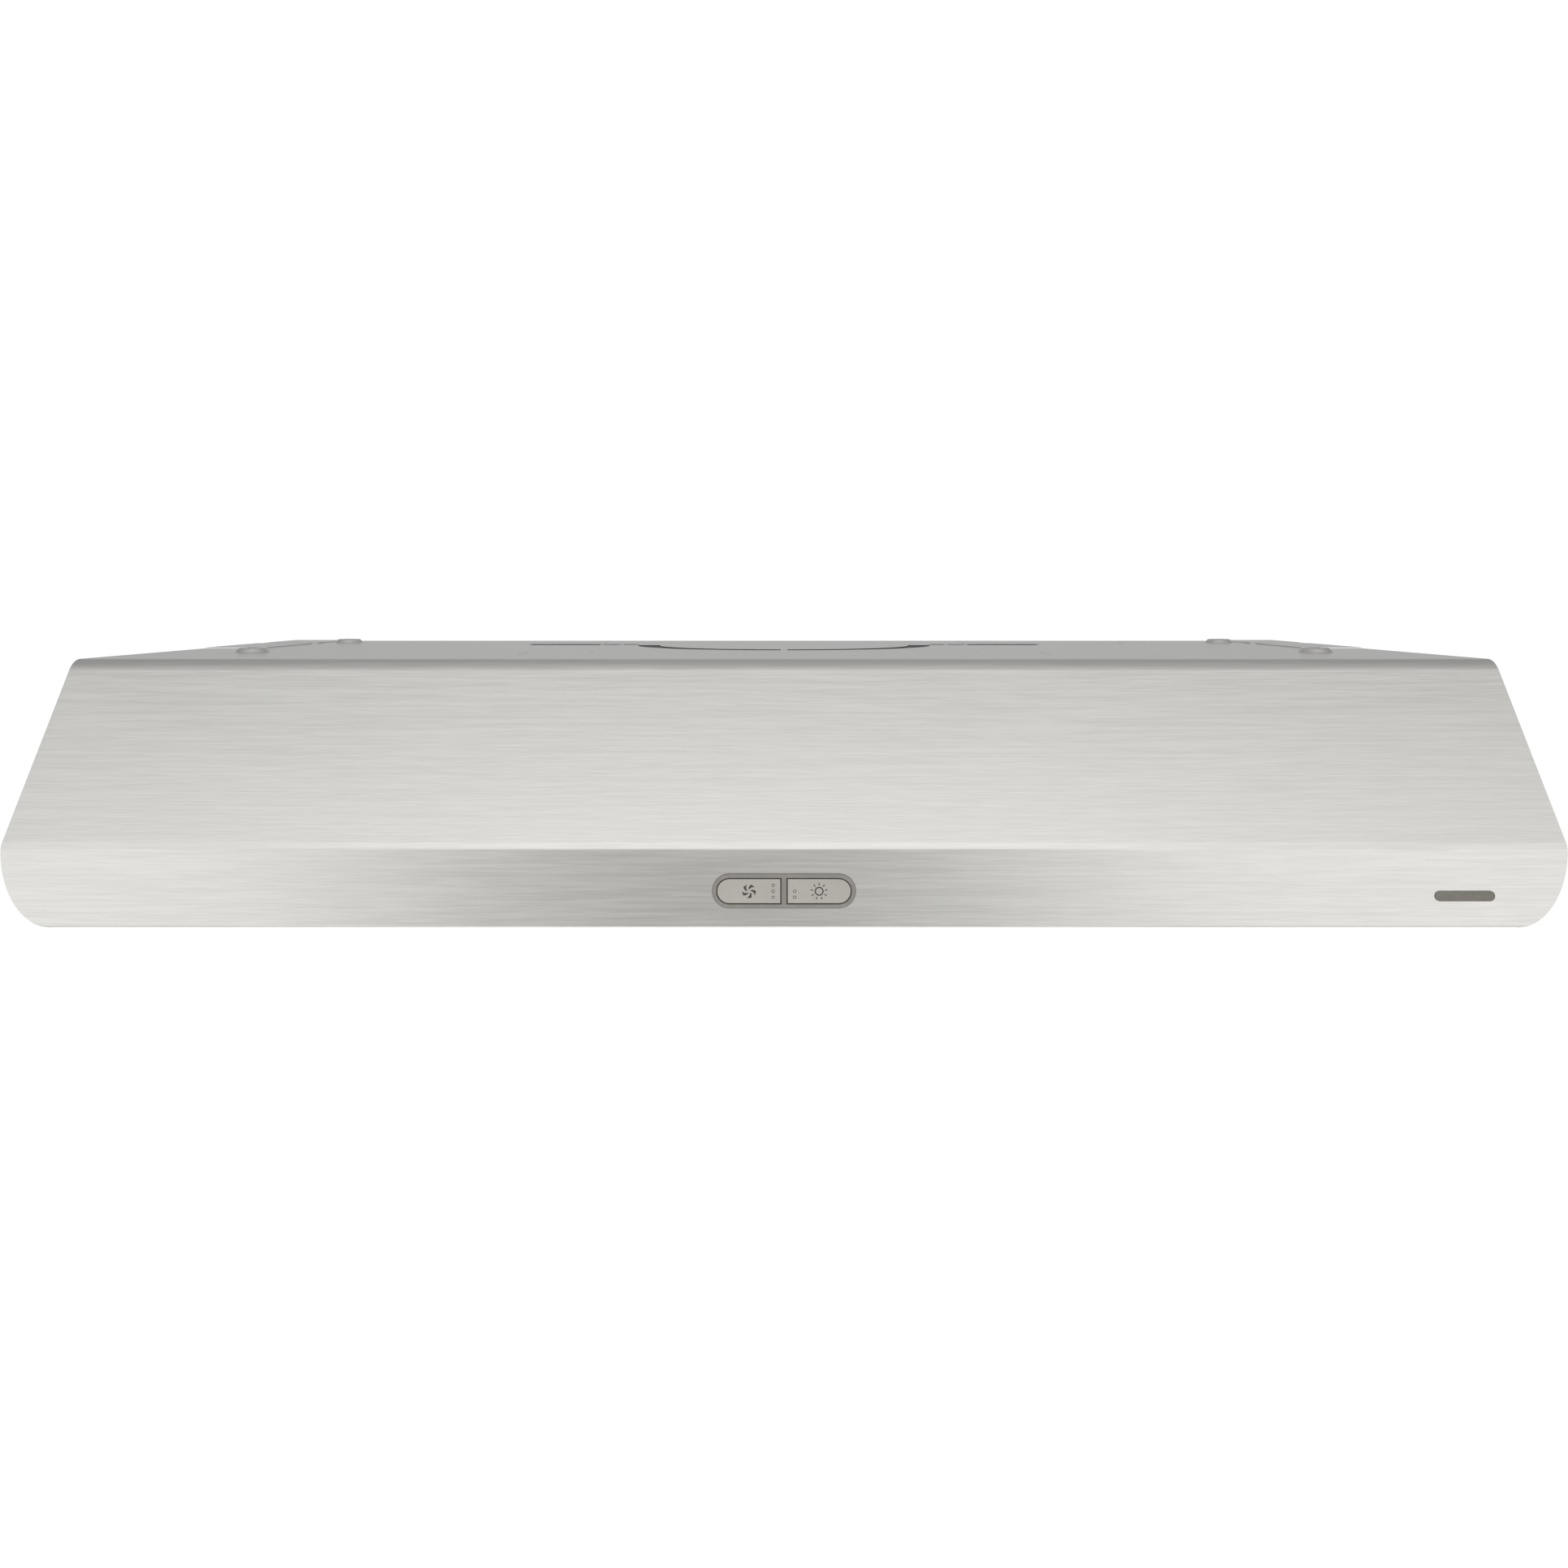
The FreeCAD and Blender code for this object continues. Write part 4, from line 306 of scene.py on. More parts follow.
STEEL = (0.600, 0.592, 0.570)
ALONG_DEPTH = (1300.0, 40.0, 1300.0)
FINISHES: dict[str, Finish] = {
    "stainless": Finish("stainless", STEEL, 1.0, 0.2, Surface.BRUSHED, colour_swing=0.06,
                        roughness_swing=0.03, bump=0.03, worn=0.0),
    "stainless_ends": Finish("stainless_ends", STEEL, 1.0, 0.2, Surface.BRUSHED, ALONG_DEPTH,
                             colour_swing=0.06, roughness_swing=0.03, bump=0.03, worn=0.0),
    # Near-black colour for the walls of the top sheet's slots: painted shade standing in for the dark gaps seen
    # through them.
    "sheared_edge": Finish("sheared_edge", (0.045, 0.043, 0.040), 0.4, 0.6, bump=0.1, colour_swing=0.2, worn=0.0),
    "pan_steel": Finish("pan_steel", (0.52, 0.515, 0.50), 1.0, 0.34, Surface.BRUSHED, colour_swing=0.05,
                        bump=0.05),
    "galvanised": Finish("galvanised", (0.56, 0.57, 0.57), 1.0, 0.42, Surface.SPANGLED, colour_swing=0.16,
                         roughness_swing=0.1, bump=0.03),
    "plated_steel": Finish("plated_steel", (0.66, 0.65, 0.62), 1.0, 0.24, worn=0.3),
    "spring_steel": Finish("spring_steel", (0.42, 0.42, 0.43), 1.0, 0.3),
    "black_housing": Finish("black_housing", (0.028, 0.028, 0.030), 0.0, 0.48, bump=0.05, colour_swing=0.12,
                            worn=0.03),
    "wheel_metal": Finish("wheel_metal", (0.58, 0.585, 0.59), 1.0, 0.38, Surface.SPANGLED, colour_swing=0.1),
    "motor_black": Finish("motor_black", (0.022, 0.022, 0.024), 0.0, 0.4, colour_swing=0.3, bump=0.1),
    "motor_copper": Finish("motor_copper", (0.62, 0.27, 0.12), 1.0, 0.35, Surface.BRUSHED, colour_swing=0.2,
                           bump=0.2),
    "capacitor_white": Finish("capacitor_white", (0.78, 0.77, 0.73), 0.0, 0.42),
    "bezel_grey": Finish("bezel_grey", (0.212, 0.197, 0.178), 0.0, 0.42, fineness=2600.0, bump=0.05,
                         colour_swing=0.05, worn=0.25, worn_colour=(0.42, 0.41, 0.38)),
    "key_grey": Finish("key_grey", (0.370, 0.354, 0.322), 0.0, 0.4, fineness=2600.0, bump=0.05, colour_swing=0.03,
                       worn=0.15, worn_colour=(0.6, 0.6, 0.58)),
    # Dark print of the key symbols; the same colour also paints the shade lines round the bezel and the key
    # openings.
    "key_print": Finish("key_print", (0.04, 0.035, 0.028), 0.0, 0.5, colour_swing=0.1, worn=0.0),
    "dot_lens": Finish("dot_lens", (0.46, 0.44, 0.40), 0.0, 0.2, coat=0.4, worn=0.0),
    "board_green": Finish("board_green", (0.02, 0.16, 0.07), 0.0, 0.3, colour_swing=0.3, coat=0.3),
    "badge_grey": Finish("badge_grey", (0.155, 0.145, 0.128), 0.6, 0.38, Surface.BRUSHED, colour_swing=0.08,
                         bump=0.04, worn=0.3, worn_colour=(0.4, 0.39, 0.37)),
    "filter_aluminium": Finish("filter_aluminium", (0.70, 0.70, 0.70), 1.0, 0.33, Surface.BRUSHED,
                               colour_swing=0.07, bump=0.08),
    "lamp_trim": Finish("lamp_trim", (0.62, 0.615, 0.60), 1.0, 0.22, Surface.BRUSHED, colour_swing=0.03,
                        bump=0.02),
    "lamp_glass": Finish("lamp_glass", (0.88, 0.88, 0.86), 0.0, 0.35, fineness=900.0, bump=0.3, worn=0.0,
                         transmission=0.55),
    "socket_white": Finish("socket_white", (0.80, 0.79, 0.75), 0.0, 0.5),
    "lead_grey": Finish("lead_grey", (0.30, 0.30, 0.30), 0.0, 0.45, colour_swing=0.08),
    "bushing_black": Finish("bushing_black", (0.02, 0.02, 0.02), 0.0, 0.5, colour_swing=0.3, bump=0.1),
    "connector_red": Finish("connector_red", (0.55, 0.04, 0.03), 0.0, 0.35),
}


# Mesh helpers

class Run(Enum):
    """Axis that a flat outline is drawn out along."""

    ACROSS = 0
    BACK = 1
    UP = 2

    def spot(self, u: float, v: float, along: float) -> Triple:
        """Point of an outline at one place along the axis."""
        if self is Run.ACROSS:
            return along, u, v
        if self is Run.BACK:
            return u, along, v
        return u, v, along


def linked(name: str, mesh: bpy.types.Mesh) -> Piece:
    """New piece of a mesh, in the scene."""
    piece = bpy.data.objects.new(name, mesh)
    bpy.context.scene.collection.objects.link(piece)
    return piece


def quads(rings: int, count: int, looped: bool, closed: bool = True) -> list[tuple[int, ...]]:
    """Faces between neighbouring rings of points.

    Args:
        rings: how many rings there are.
        count: points of each ring.
        looped: whether the last ring joins the first.
        closed: whether each ring's last point joins its first.

    Returns:
        The faces, as places in the list of points.
    """
    faces = []
    for ring in range(rings if looped else rings - 1):
        here, there = ring * count, (ring + 1) % rings * count
        for near in range(count if closed else count - 1):
            far = (near + 1) % count
            faces.append((here + near, here + far, there + far, there + near))
    return faces


def solid(name: str, spots: list[Triple], faces: list[tuple[int, ...]]) -> Piece:
    """Mesh piece from points in millimetres.

    Args:
        name: the piece's name.
        spots: its points.
        faces: its faces, as places in spots.

    Returns:
        A linked object whose faces point outwards.
    """
    mesh = bpy.data.meshes.new(name)
    mesh.from_pydata([Vector(spot) * MM for spot in spots], [], faces)
    tidy_mesh(mesh)
    return linked(name, mesh)


def tidy_mesh(mesh: bpy.types.Mesh) -> None:
    """Merge doubles and turn every face outwards."""
    work = bmesh.new()
    work.from_mesh(mesh)
    bmesh.ops.remove_doubles(work, verts=work.verts, dist=1e-6)
    bmesh.ops.dissolve_degenerate(work, edges=work.edges, dist=1e-7)
    bmesh.ops.recalc_face_normals(work, faces=work.faces)
    work.to_mesh(mesh)
    work.free()


def loft(name: str, run: Run, rings: list[tuple[Outline, float]]) -> Piece:
    """Closed piece through outlines with the same number of points.

    Args:
        name: the piece's name.
        run: the axis that the outlines stand along.
        rings: each outline with its place on the axis.

    Returns:
        The piece, with flat ends.
    """
    count = len(rings[0][0])
    spots = [run.spot(u, v, along) for outline, along in rings for u, v in outline]
    ends = [tuple(range(count)), tuple(range(len(spots) - count, len(spots)))]
    return solid(name, spots, quads(len(rings), count, False) + ends)


def prism(name: str, run: Run, outline: Outline, low: float, high: float) -> Piece:
    """Outline drawn straight between two places on an axis."""
    return loft(name, run, [(outline, low), (outline, high)])


def loft_ring(name: str, outer: Outline, inner: Outline, front: float, rear: float) -> Piece:
    """Flat band between two outlines with the same number of points, facing the front."""
    rings = ((outer, front), (inner, front), (inner, rear), (outer, rear))
    spots = [Run.BACK.spot(u, v, along) for outline, along in rings for u, v in outline]
    return solid(name, spots, quads(len(rings), len(outer), True))


def block(name: str, low: Triple, high: Triple) -> Piece:
    """Box between two corners."""
    return prism(name, Run.UP, [(low[0], low[1]), (high[0], low[1]), (high[0], high[1]), (low[0], high[1])],
                 low[2], high[2])


def lathe(name: str, run: Run, middle: Triple, profile: Outline, closed: bool = False, steps: int = 96) -> Piece:
    """Profile turned about an axis.

    Args:
        name: the piece's name.
        run: direction of the axis.
        middle: a point on it.
        profile: radius and height of each point.
        closed: whether the profile is a ring's section, and not a line between two poles.
        steps: how many stretches make the turn.

    Returns:
        The turned piece.
    """
    spots = []
    for step in range(steps):
        angle = 2 * math.pi * step / steps
        for radius, height in profile:
            u, v = radius * math.cos(angle), radius * math.sin(angle)
            spots.append(tuple(Vector(middle) + Vector(run.spot(u, v, height))))
    return solid(name, spots, quads(steps, len(profile), True, closed))


def tube(name: str, spine: list[Triple], side: Triple, radius: float, steps: int = 14) -> Piece:
    """Round bar along a closed flat spine.

    Args:
        name: the piece's name.
        spine: points of the closed line.
        side: direction square to the line's plane.
        radius: the bar's radius.
        steps: points round the bar.

    Returns:
        The bar.
    """
    spots = []
    count = len(spine)
    for place in range(count):
        before, here, after = (Vector(spine[(place + shift) % count]) for shift in (-1, 0, 1))
        outward = (after - before).normalized().cross(Vector(side))
        for step in range(steps):
            angle = 2 * math.pi * step / steps
            spots.append(tuple(here + (outward * math.cos(angle) + Vector(side) * math.sin(angle)) * radius))
    return solid(name, spots, quads(count, steps, True))


def merged(name: str, pieces: list[Piece]) -> Piece:
    """One piece from several meshes, which are used up."""
    work = bmesh.new()
    for piece in pieces:
        work.from_mesh(piece.data)
        drop(piece)
    mesh = bpy.data.meshes.new(name)
    work.to_mesh(mesh)
    work.free()
    return linked(name, mesh)


def drop(piece: Piece) -> None:
    """Remove a piece and its mesh."""
    mesh = piece.data
    bpy.data.objects.remove(piece)
    bpy.data.meshes.remove(mesh)


def settle(piece: Piece) -> Piece:
    """Make the result of a piece's modifiers its mesh."""
    graph = bpy.context.evaluated_depsgraph_get()
    mesh = bpy.data.meshes.new_from_object(piece.evaluated_get(graph), preserve_all_data_layers=True,
                                           depsgraph=graph)
    old = piece.data
    piece.modifiers.clear()
    piece.data = mesh
    bpy.data.meshes.remove(old)
    return piece


def carve(piece: Piece, tools: list[Piece], operation: str = "DIFFERENCE") -> Piece:
    """Cut, join or keep a piece with tools that don't touch each other.

    Args:
        piece: the piece to work on.
        tools: the solids it is worked with, which are used up.
        operation: DIFFERENCE, UNION or INTERSECT.

    Returns:
        The same piece.
    """
    tool = merged(piece.name + "_tool", tools)
    change = piece.modifiers.new("carve", "BOOLEAN")
    change.operation = operation
    change.solver = "EXACT"
    change.object = tool
    settle(piece)
    drop(tool)
    return piece


def eased(piece: Piece, width: float, segments: int = 2, angle: float = 40.0) -> Piece:
    """Round a piece's sharp edges."""
    change = piece.modifiers.new("eased", "BEVEL")
    change.width = width * MM
    change.segments = segments
    change.limit_method = "ANGLE"
    change.angle_limit = math.radians(angle)
    change.harden_normals = False
    return settle(piece)


def shaded(piece: Piece, angle: float = 32.0) -> Piece:
    """Smooth shading that keeps wide flat faces flat and sharp edges sharp."""
    piece.data.shade_smooth()
    piece.data.set_sharp_from_angle(angle=math.radians(angle))
    change = piece.modifiers.new("weights", "WEIGHTED_NORMAL")
    change.keep_sharp = True
    change.weight = 100
    return settle(piece)


def mirrored(piece: Piece, name: str) -> Piece:
    """The same piece on the other side of the hood."""
    mesh = piece.data.copy()
    mesh.transform(Matrix.Scale(-1, 4, (1, 0, 0)))
    mesh.flip_normals()
    return linked(name, mesh)


def finished(piece: Piece, body: str, slot: str, nodes: tuple[str, ...], finish: str = "") -> Piece:
    """Dress a piece and put it in the frame.

    Args:
        piece: the piece, in its place.
        body: the body it rides on.
        slot: the record's material slot.
        nodes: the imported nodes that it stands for.
        finish: the finish's name, where it isn't the slot's own.

    Returns:
        The same piece.
    """
    piece.data.materials.clear()
    piece.data.materials.append(FINISHES[finish or slot].material())
    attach(piece, body)
    if nodes:
        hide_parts(*nodes)
    log.info("%s: %d faces, rides on %s", piece.name, len(piece.data.polygons), body)
    return piece


def repainted(piece: Piece, finish: str, wanted: Callable[[Vector, Vector], bool]) -> Piece:
    """Give some of a dressed piece's faces another finish.

    Args:
        piece: a dressed piece.
        finish: name of the other finish.
        wanted: tells from a face's middle in millimetres and its normal whether it changes.

    Returns:
        The same piece.
    """
    piece.data.materials.append(FINISHES[finish].material())
    last = len(piece.data.materials) - 1
    for face in piece.data.polygons:
        if wanted(face.center / MM, face.normal):
            face.material_index = last
    return piece


def turned_left(first: Vector, centre: Vector, angle: float) -> Pair:
    """A point turned about another, in the plane."""
    arm = first - centre
    across = math.cos(angle) * arm.x - math.sin(angle) * arm.y
    return centre.x + across, centre.y + math.sin(angle) * arm.x + math.cos(angle) * arm.y


def bent_line(points: Outline, radii: tuple[float, ...], shift: float = 0.0, step: float = 2.5) -> Outline:
    """Points along a line with rounded corners, moved to its left by shift.

    Args:
        points: the line's corners.
        radii: one bend for each inner corner, measured on the line itself.
        shift: how far the line is moved.
        step: largest turn between two points of a bend, in degrees.

    Returns:
        The points of the moved line.
    """
    corners = [Vector(point) for point in points]
    runs = [(after - before).normalized() for before, after in zip(corners, corners[1:])]
    lefts = [Vector((-run.y, run.x)) for run in runs]
    moved = [corners[0] + lefts[0] * shift]
    for corner, before, after in zip(corners[1:], lefts, lefts[1:]):
        moved.append(corner + (before + after) * (shift / (1 + before.dot(after))))
    moved.append(corners[-1] + lefts[-1] * shift)
    line = [tuple(moved[0])]
    for corner, run_in, run_out, radius in zip(moved[1:-1], runs, runs[1:], radii):
        side = 1 if run_in.x * run_out.y - run_in.y * run_out.x > 0 else -1
        bend = radius - side * shift
        turn = run_in.angle(run_out)
        first = corner - run_in * (bend * math.tan(turn / 2))
        centre = first + Vector((-run_in.y, run_in.x)) * (bend * side)
        count = max(2, math.ceil(math.degrees(turn) / step))
        line += [turned_left(first, centre, side * turn * place / count) for place in range(count + 1)]
    line.append(tuple(moved[-1]))
    return line


def sheet_outline(points: Outline, radii: tuple[float, ...], near: float, far: float) -> Outline:
    """Edge-on outline of a bent sheet, between two moved copies of one line."""
    return bent_line(points, radii, near) + bent_line(points, radii, far)[::-1]


def pill(span: Pair, middle: float, tall: float, round_left: bool = True, round_right: bool = True) -> Outline:
    """Outline of a flat bar whose chosen ends are full-round."""
    radius = tall / 2
    outline: Outline = []
    for end, is_round, start in ((span[1], round_right, -90.0), (span[0], round_left, 90.0)):
        sign = 1 if start < 0 else -1
        centre = end - sign * radius if is_round else end
        for place in range(25):
            angle = math.radians(start + 180.0 * place / 24)
            reach = radius * math.cos(angle) if is_round else 0.0
            height = radius * math.sin(angle)
            if is_round or place in (0, 24):
                outline.append((centre + reach, middle + height))
    return outline


# Geometry node trees

def fill_in(piece: Piece, tree: bpy.types.NodeTree, values: dict[str, object]) -> Piece:
    """Run a geometry tree on a piece and keep its result.

    Args:
        piece: the piece that carries the tree.
        tree: the tree.
        values: a value for each named input.

    Returns:
        The same piece, with a plain mesh.
    """
    change = piece.modifiers.new("pattern", "NODES")
    change.node_group = tree
    for item in tree.interface.items_tree:
        if item.in_out == "INPUT" and item.name in values:
            change[item.identifier] = values[item.name]
    return settle(piece)


class Patterns:
    """Geometry trees for the pieces that repeat."""

    def __init__(self) -> None:
        """Build every tree once."""
        self.marked = self._on_marks()
        self.lattice = self._lattice()
        self.wheel = self._round()

    def _close(self, wiring: Wiring, instances: bpy.types.NodeSocket, material: bpy.types.NodeSocket) -> None:
        """Realize the instances and set their material."""
        real = wiring.feed(wiring.add("GeometryNodeRealizeInstances"), Geometry=instances)
        dressed = wiring.feed(wiring.add("GeometryNodeSetMaterial"), Geometry=real.outputs[0], Material=material)
        wiring.feed(wiring.add("NodeGroupOutput"), Geometry=dressed.outputs[0])

    def _on_marks(self) -> bpy.types.NodeTree:
        """A part on each mark, its axis along the mark's own direction."""
        wiring = new_group("parts_on_marks", "GeometryNodeTree", {
            "Geometry": ("NodeSocketGeometry", None), "Part": ("NodeSocketObject", None),
            "Seed": ("NodeSocketInt", 7), "Material": ("NodeSocketMaterial", None),
        }, {"Geometry": "NodeSocketGeometry"})
        given = wiring.add("NodeGroupInput").outputs
        part = wiring.feed(wiring.add("GeometryNodeObjectInfo"), Object=given["Part"])
        way = wiring.feed(wiring.add("GeometryNodeInputNamedAttribute", data_type="FLOAT_VECTOR"), Name="way")
        aim = wiring.feed(wiring.add("FunctionNodeAlignRotationToVector", axis="Z"), Vector=way.outputs[0])
        chance = wiring.add("FunctionNodeRandomValue", data_type="FLOAT")
        wiring.feed(chance, _2=0.0, _3=math.tau, Seed=given["Seed"])
        twist = wiring.feed(wiring.add("ShaderNodeCombineXYZ"), Z=chance.outputs[1])
        turned = wiring.add("FunctionNodeRotateRotation", rotation_space="LOCAL")
        wiring.feed(turned, Rotation=aim.outputs[0], _1=twist.outputs[0])
        placed = wiring.feed(wiring.add("GeometryNodeInstanceOnPoints"), Points=given["Geometry"],
                             Instance=part.outputs["Geometry"], Rotation=turned.outputs[0])
        self._close(wiring, placed.outputs[0], given["Material"])
        return wiring.tree

    def _lattice(self) -> bpy.types.NodeTree:
        """Expanded metal: diamonds of flat strand that touch at their corners."""
        wiring = new_group("expanded_mesh", "GeometryNodeTree", {
            "Across": ("NodeSocketFloat", 0.3), "Deep": ("NodeSocketFloat", 0.3),
            "Diamond Across": ("NodeSocketFloat", 0.009), "Diamond Deep": ("NodeSocketFloat", 0.005),
            "Strand": ("NodeSocketFloat", 0.0009), "Middle": ("NodeSocketVector", (0.0, 0.0, 0.0)),
            "Material": ("NodeSocketMaterial", None),
        }, {"Geometry": "NodeSocketGeometry"})
        given = wiring.add("NodeGroupInput").outputs
        columns = wiring.maths("FLOOR", wiring.maths("DIVIDE", given["Across"], given["Diamond Across"]))
        rows = wiring.maths("FLOOR", wiring.maths("DIVIDE", given["Deep"], given["Diamond Deep"]))
        wide = wiring.maths("MULTIPLY", wiring.maths("SUBTRACT", columns, 1.0), given["Diamond Across"])
        deep = wiring.maths("MULTIPLY", wiring.maths("SUBTRACT", rows, 1.0), given["Diamond Deep"])
        grid = wiring.feed(wiring.add("GeometryNodeMeshGrid"), Size_X=wide, Size_Y=deep,
                           Vertices_X=columns, Vertices_Y=rows)
        moved = wiring.feed(wiring.add("GeometryNodeTransform"), Geometry=grid.outputs[0],
                            Translation=given["Middle"])
        square = wiring.feed(wiring.add("GeometryNodeCurvePrimitiveCircle", mode="RADIUS"), Resolution=4,
                             Radius=0.5)
        size = wiring.feed(wiring.add("ShaderNodeCombineXYZ"), X=given["Diamond Across"], Y=given["Diamond Deep"],
                           Z=1.0)
        diamond = wiring.feed(wiring.add("GeometryNodeTransform"), Geometry=square.outputs[0],
                              Scale=size.outputs[0])
        section = wiring.add("GeometryNodeCurvePrimitiveQuadrilateral", mode="RECTANGLE")
        wiring.feed(section, Width=given["Strand"], Height=wiring.maths("MULTIPLY", given["Strand"], 0.55))
        strand = wiring.feed(wiring.add("GeometryNodeCurveToMesh"), Curve=diamond.outputs[0],
                             Profile_Curve=section.outputs[0])
        placed = wiring.feed(wiring.add("GeometryNodeInstanceOnPoints"), Points=moved.outputs[0],
                             Instance=strand.outputs[0])
        self._close(wiring, placed.outputs[0], given["Material"])
        return wiring.tree

    def _round(self) -> bpy.types.NodeTree:
        """Copies of one flat mark round a middle, stood up to face the front."""
        wiring = new_group("marks_round_a_middle", "GeometryNodeTree", {
            "Geometry": ("NodeSocketGeometry", None), "Count": ("NodeSocketInt", 5),
            "Middle": ("NodeSocketVector", (0.0, 0.0, 0.0)), "Material": ("NodeSocketMaterial", None),
        }, {"Geometry": "NodeSocketGeometry"})
        given = wiring.add("NodeGroupInput").outputs
        points = wiring.feed(wiring.add("GeometryNodePoints"), Count=given["Count"])
        place = wiring.add("GeometryNodeInputIndex").outputs[0]
        angle = wiring.maths("MULTIPLY", wiring.maths("DIVIDE", place, given["Count"]), math.tau)
        turn = wiring.feed(wiring.add("ShaderNodeCombineXYZ"), Y=angle)
        placed = wiring.feed(wiring.add("GeometryNodeInstanceOnPoints"), Points=points.outputs[0],
                             Instance=given["Geometry"], Rotation=turn.outputs[0])
        moved = wiring.feed(wiring.add("GeometryNodeTransform"), Geometry=placed.outputs[0],
                            Translation=given["Middle"])
        self._close(wiring, moved.outputs[0], given["Material"])
        return wiring.tree


PATTERNS = Patterns()


# Sub-assemblies

@dataclass
class SheetBody:
    """Stainless canopy and its two end panels."""

    half: float = 455.5
    front: float = -340.5
    wall: float = 167.5
    top: float = -3.0
    bottom: float = -155.5
    sheet: float = 0.8
    gap: float = 0.3
    roll_across: float = 29.0
    roll_tall: float = 44.0
    rim: float = 24.0
    rim_return: float = 16.0
    flange: float = 14.0
    tab_reach: float = 47.5
    tabs: tuple[Pair, ...] = ((298.0, 408.0), (423.0, 507.0))
    screw_x: float = 390.0
    screw_y: float = 117.5
    slots: tuple[Triple, ...] = ((156.0, 216.0, 24.0), (124.0, 137.0, 15.0), (139.0, 154.0, 15.0))
    slot_depth: float = 392.0
    arc_depth: float = 374.0
    arc_outer: float = 122.0
    arc_inner: float = 104.0
    scores: tuple[Triple, ...] = ((185.0, 160.0, 205.0), (160.0, 435.0, 506.0), (140.0, 207.0, 217.0))
    knockouts: tuple[Pair, ...] = ((284.0, 420.0), (313.0, 461.0))
    slit_radii: Pair = (11.6, 11.0)
    arc_bridge: float = 2.5
    apron_rise: float = 47.0
    slant_setback: float = 86.0
    boss_rise: float = 3.0
    keyhole_r: float = 5.0
    keyhole_narrow: float = 2.8
    keyhole_run: float = 8.5
    score_half: float = 0.25
    score_deep: float = 0.3

    def __post_init__(self) -> None:
        """Work out the lines that the sheets follow."""
        rim_y = self.front + self.rim
        self.line = [
            (rim_y, self.bottom + self.rim_return), (rim_y, self.bottom), (self.front, self.bottom),
            (self.front, self.bottom + self.apron_rise), (self.front + self.slant_setback, self.top),
            (self.wall, self.top),
        ]
        self.radii = (1.6, 1.6, 9.0, 19.0)
        self.rim_x = self.half - self.roll_across - self.rim

    def corner(self, inset: float) -> Outline:
        """Rolled lower right corner, from the floor up."""
        wide, tall = self.roll_across - inset, self.roll_tall - inset
        middle = (self.half - self.roll_across, self.bottom + self.roll_tall)
        angles = [math.radians(-90 + 90 * place / 40) for place in range(41)]
        return [(middle[0] + wide * math.cos(angle), middle[1] + tall * math.sin(angle)) for angle in angles]

    def front_outline(self) -> Outline:
        """Front outline of the hood, open upwards."""
        right = self.corner(0.0)
        return right + [(self.half, 40.0), (-self.half, 40.0)] + [(-x, z) for x, z in right[::-1]]

    def top_cutters(self) -> list[Piece]:
        """Cutters for the slots, arcs, knock-outs and score lines of the top sheet."""
        low, high = self.top - 2.0, self.top + 1.0
        cutters = []
        middle = self.front + self.slot_depth
        for side in (-1, 1):
            for near, far, wide in self.slots:
                xs = sorted((side * near, side * far))
                cutters.append(block("slot", (xs[0], middle - wide / 2, low), (xs[1], middle + wide / 2, high)))
            cutters.append(prism("arc", Run.UP, self._arc_slot(side), low, high))
            for x, near, far in self.scores:
                cutters.append(block(
                    "score", (side * x - self.score_half, self.front + near, self.top - self.score_deep),
                    (side * x + self.score_half, self.front + far, high)))
        for x, depth in self.knockouts:
            for start in (100.0, 280.0):
                cutters.append(prism("slit", Run.UP, self._slit(x, self.front + depth, start), low, high))
        return cutters

    def _arc_slot(self, side: int) -> Outline:
        """One half of the curved slot, with the bridge left at the front."""
        y = self.front + self.arc_depth
        outline = []
        for radius, reverse in ((self.arc_outer, False), (self.arc_inner, True)):
            start = math.asin(self.arc_bridge / radius)
            angles = [start + (math.pi / 2 - start) * place / 36 for place in range(37)]
            points = [(side * radius * math.sin(angle), y - radius * math.cos(angle)) for angle in angles]
            outline += points[::-1] if reverse else points
        return outline

    def _slit(self, x: float, y: float, start: float) -> Outline:
        """Half of the ring-shaped slit round a knock-out."""
        outline = []
        for radius, reverse in zip(self.slit_radii, (False, True)):
            angles = [math.radians(start + 160.0 * place / 24) for place in range(25)]
            points = [(x + radius * math.cos(angle), y + radius * math.sin(angle)) for angle in angles]
            outline += points[::-1] if reverse else points
        return outline

    def bosses(self) -> tuple[list[Piece], list[Piece], list[Piece]]:
        """Raised bosses, the spaces under them and their keyholes."""
        outer, inner, holes = [], [], []
        for x in (-self.screw_x, self.screw_x):
            for y in (-self.screw_y, self.screw_y):
                middle = (x, y - self.boss_rise, self.top)
                crown = [(0.0, 3.0), (8.9, 3.0), (9.5, 2.75), (12.5, 0.0), (12.5, -0.4), (0.0, -0.4)]
                outer.append(lathe("boss", Run.UP, middle, crown, steps=64))
                inner.append(lathe("under", Run.UP, middle, [(0.0, 2.2), (9.5, 2.2), (12.5, -0.8), (12.5, -2.0),
                                                             (0.0, -2.0)], steps=64))
                holes.append(prism("keyhole", Run.UP, self._keyhole(x, y), self.top - 3.0, 3.0))
        return outer, inner, holes

    def _keyhole(self, x: float, y: float) -> Outline:
        """Round end with a narrower slot towards the front."""
        outline = []
        meet = math.asin(self.keyhole_narrow / self.keyhole_r)
        for place in range(41):
            angle = -math.pi / 2 + meet + (math.tau - 2 * meet) * place / 40
            outline.append((x + self.keyhole_r * math.cos(angle), y + self.keyhole_r * math.sin(angle)))
        for place in range(17):
            angle = math.pi + math.pi * place / 16
            outline.append((x + self.keyhole_narrow * math.cos(angle),
                            y - self.keyhole_run + self.keyhole_narrow * math.sin(angle)))
        return outline

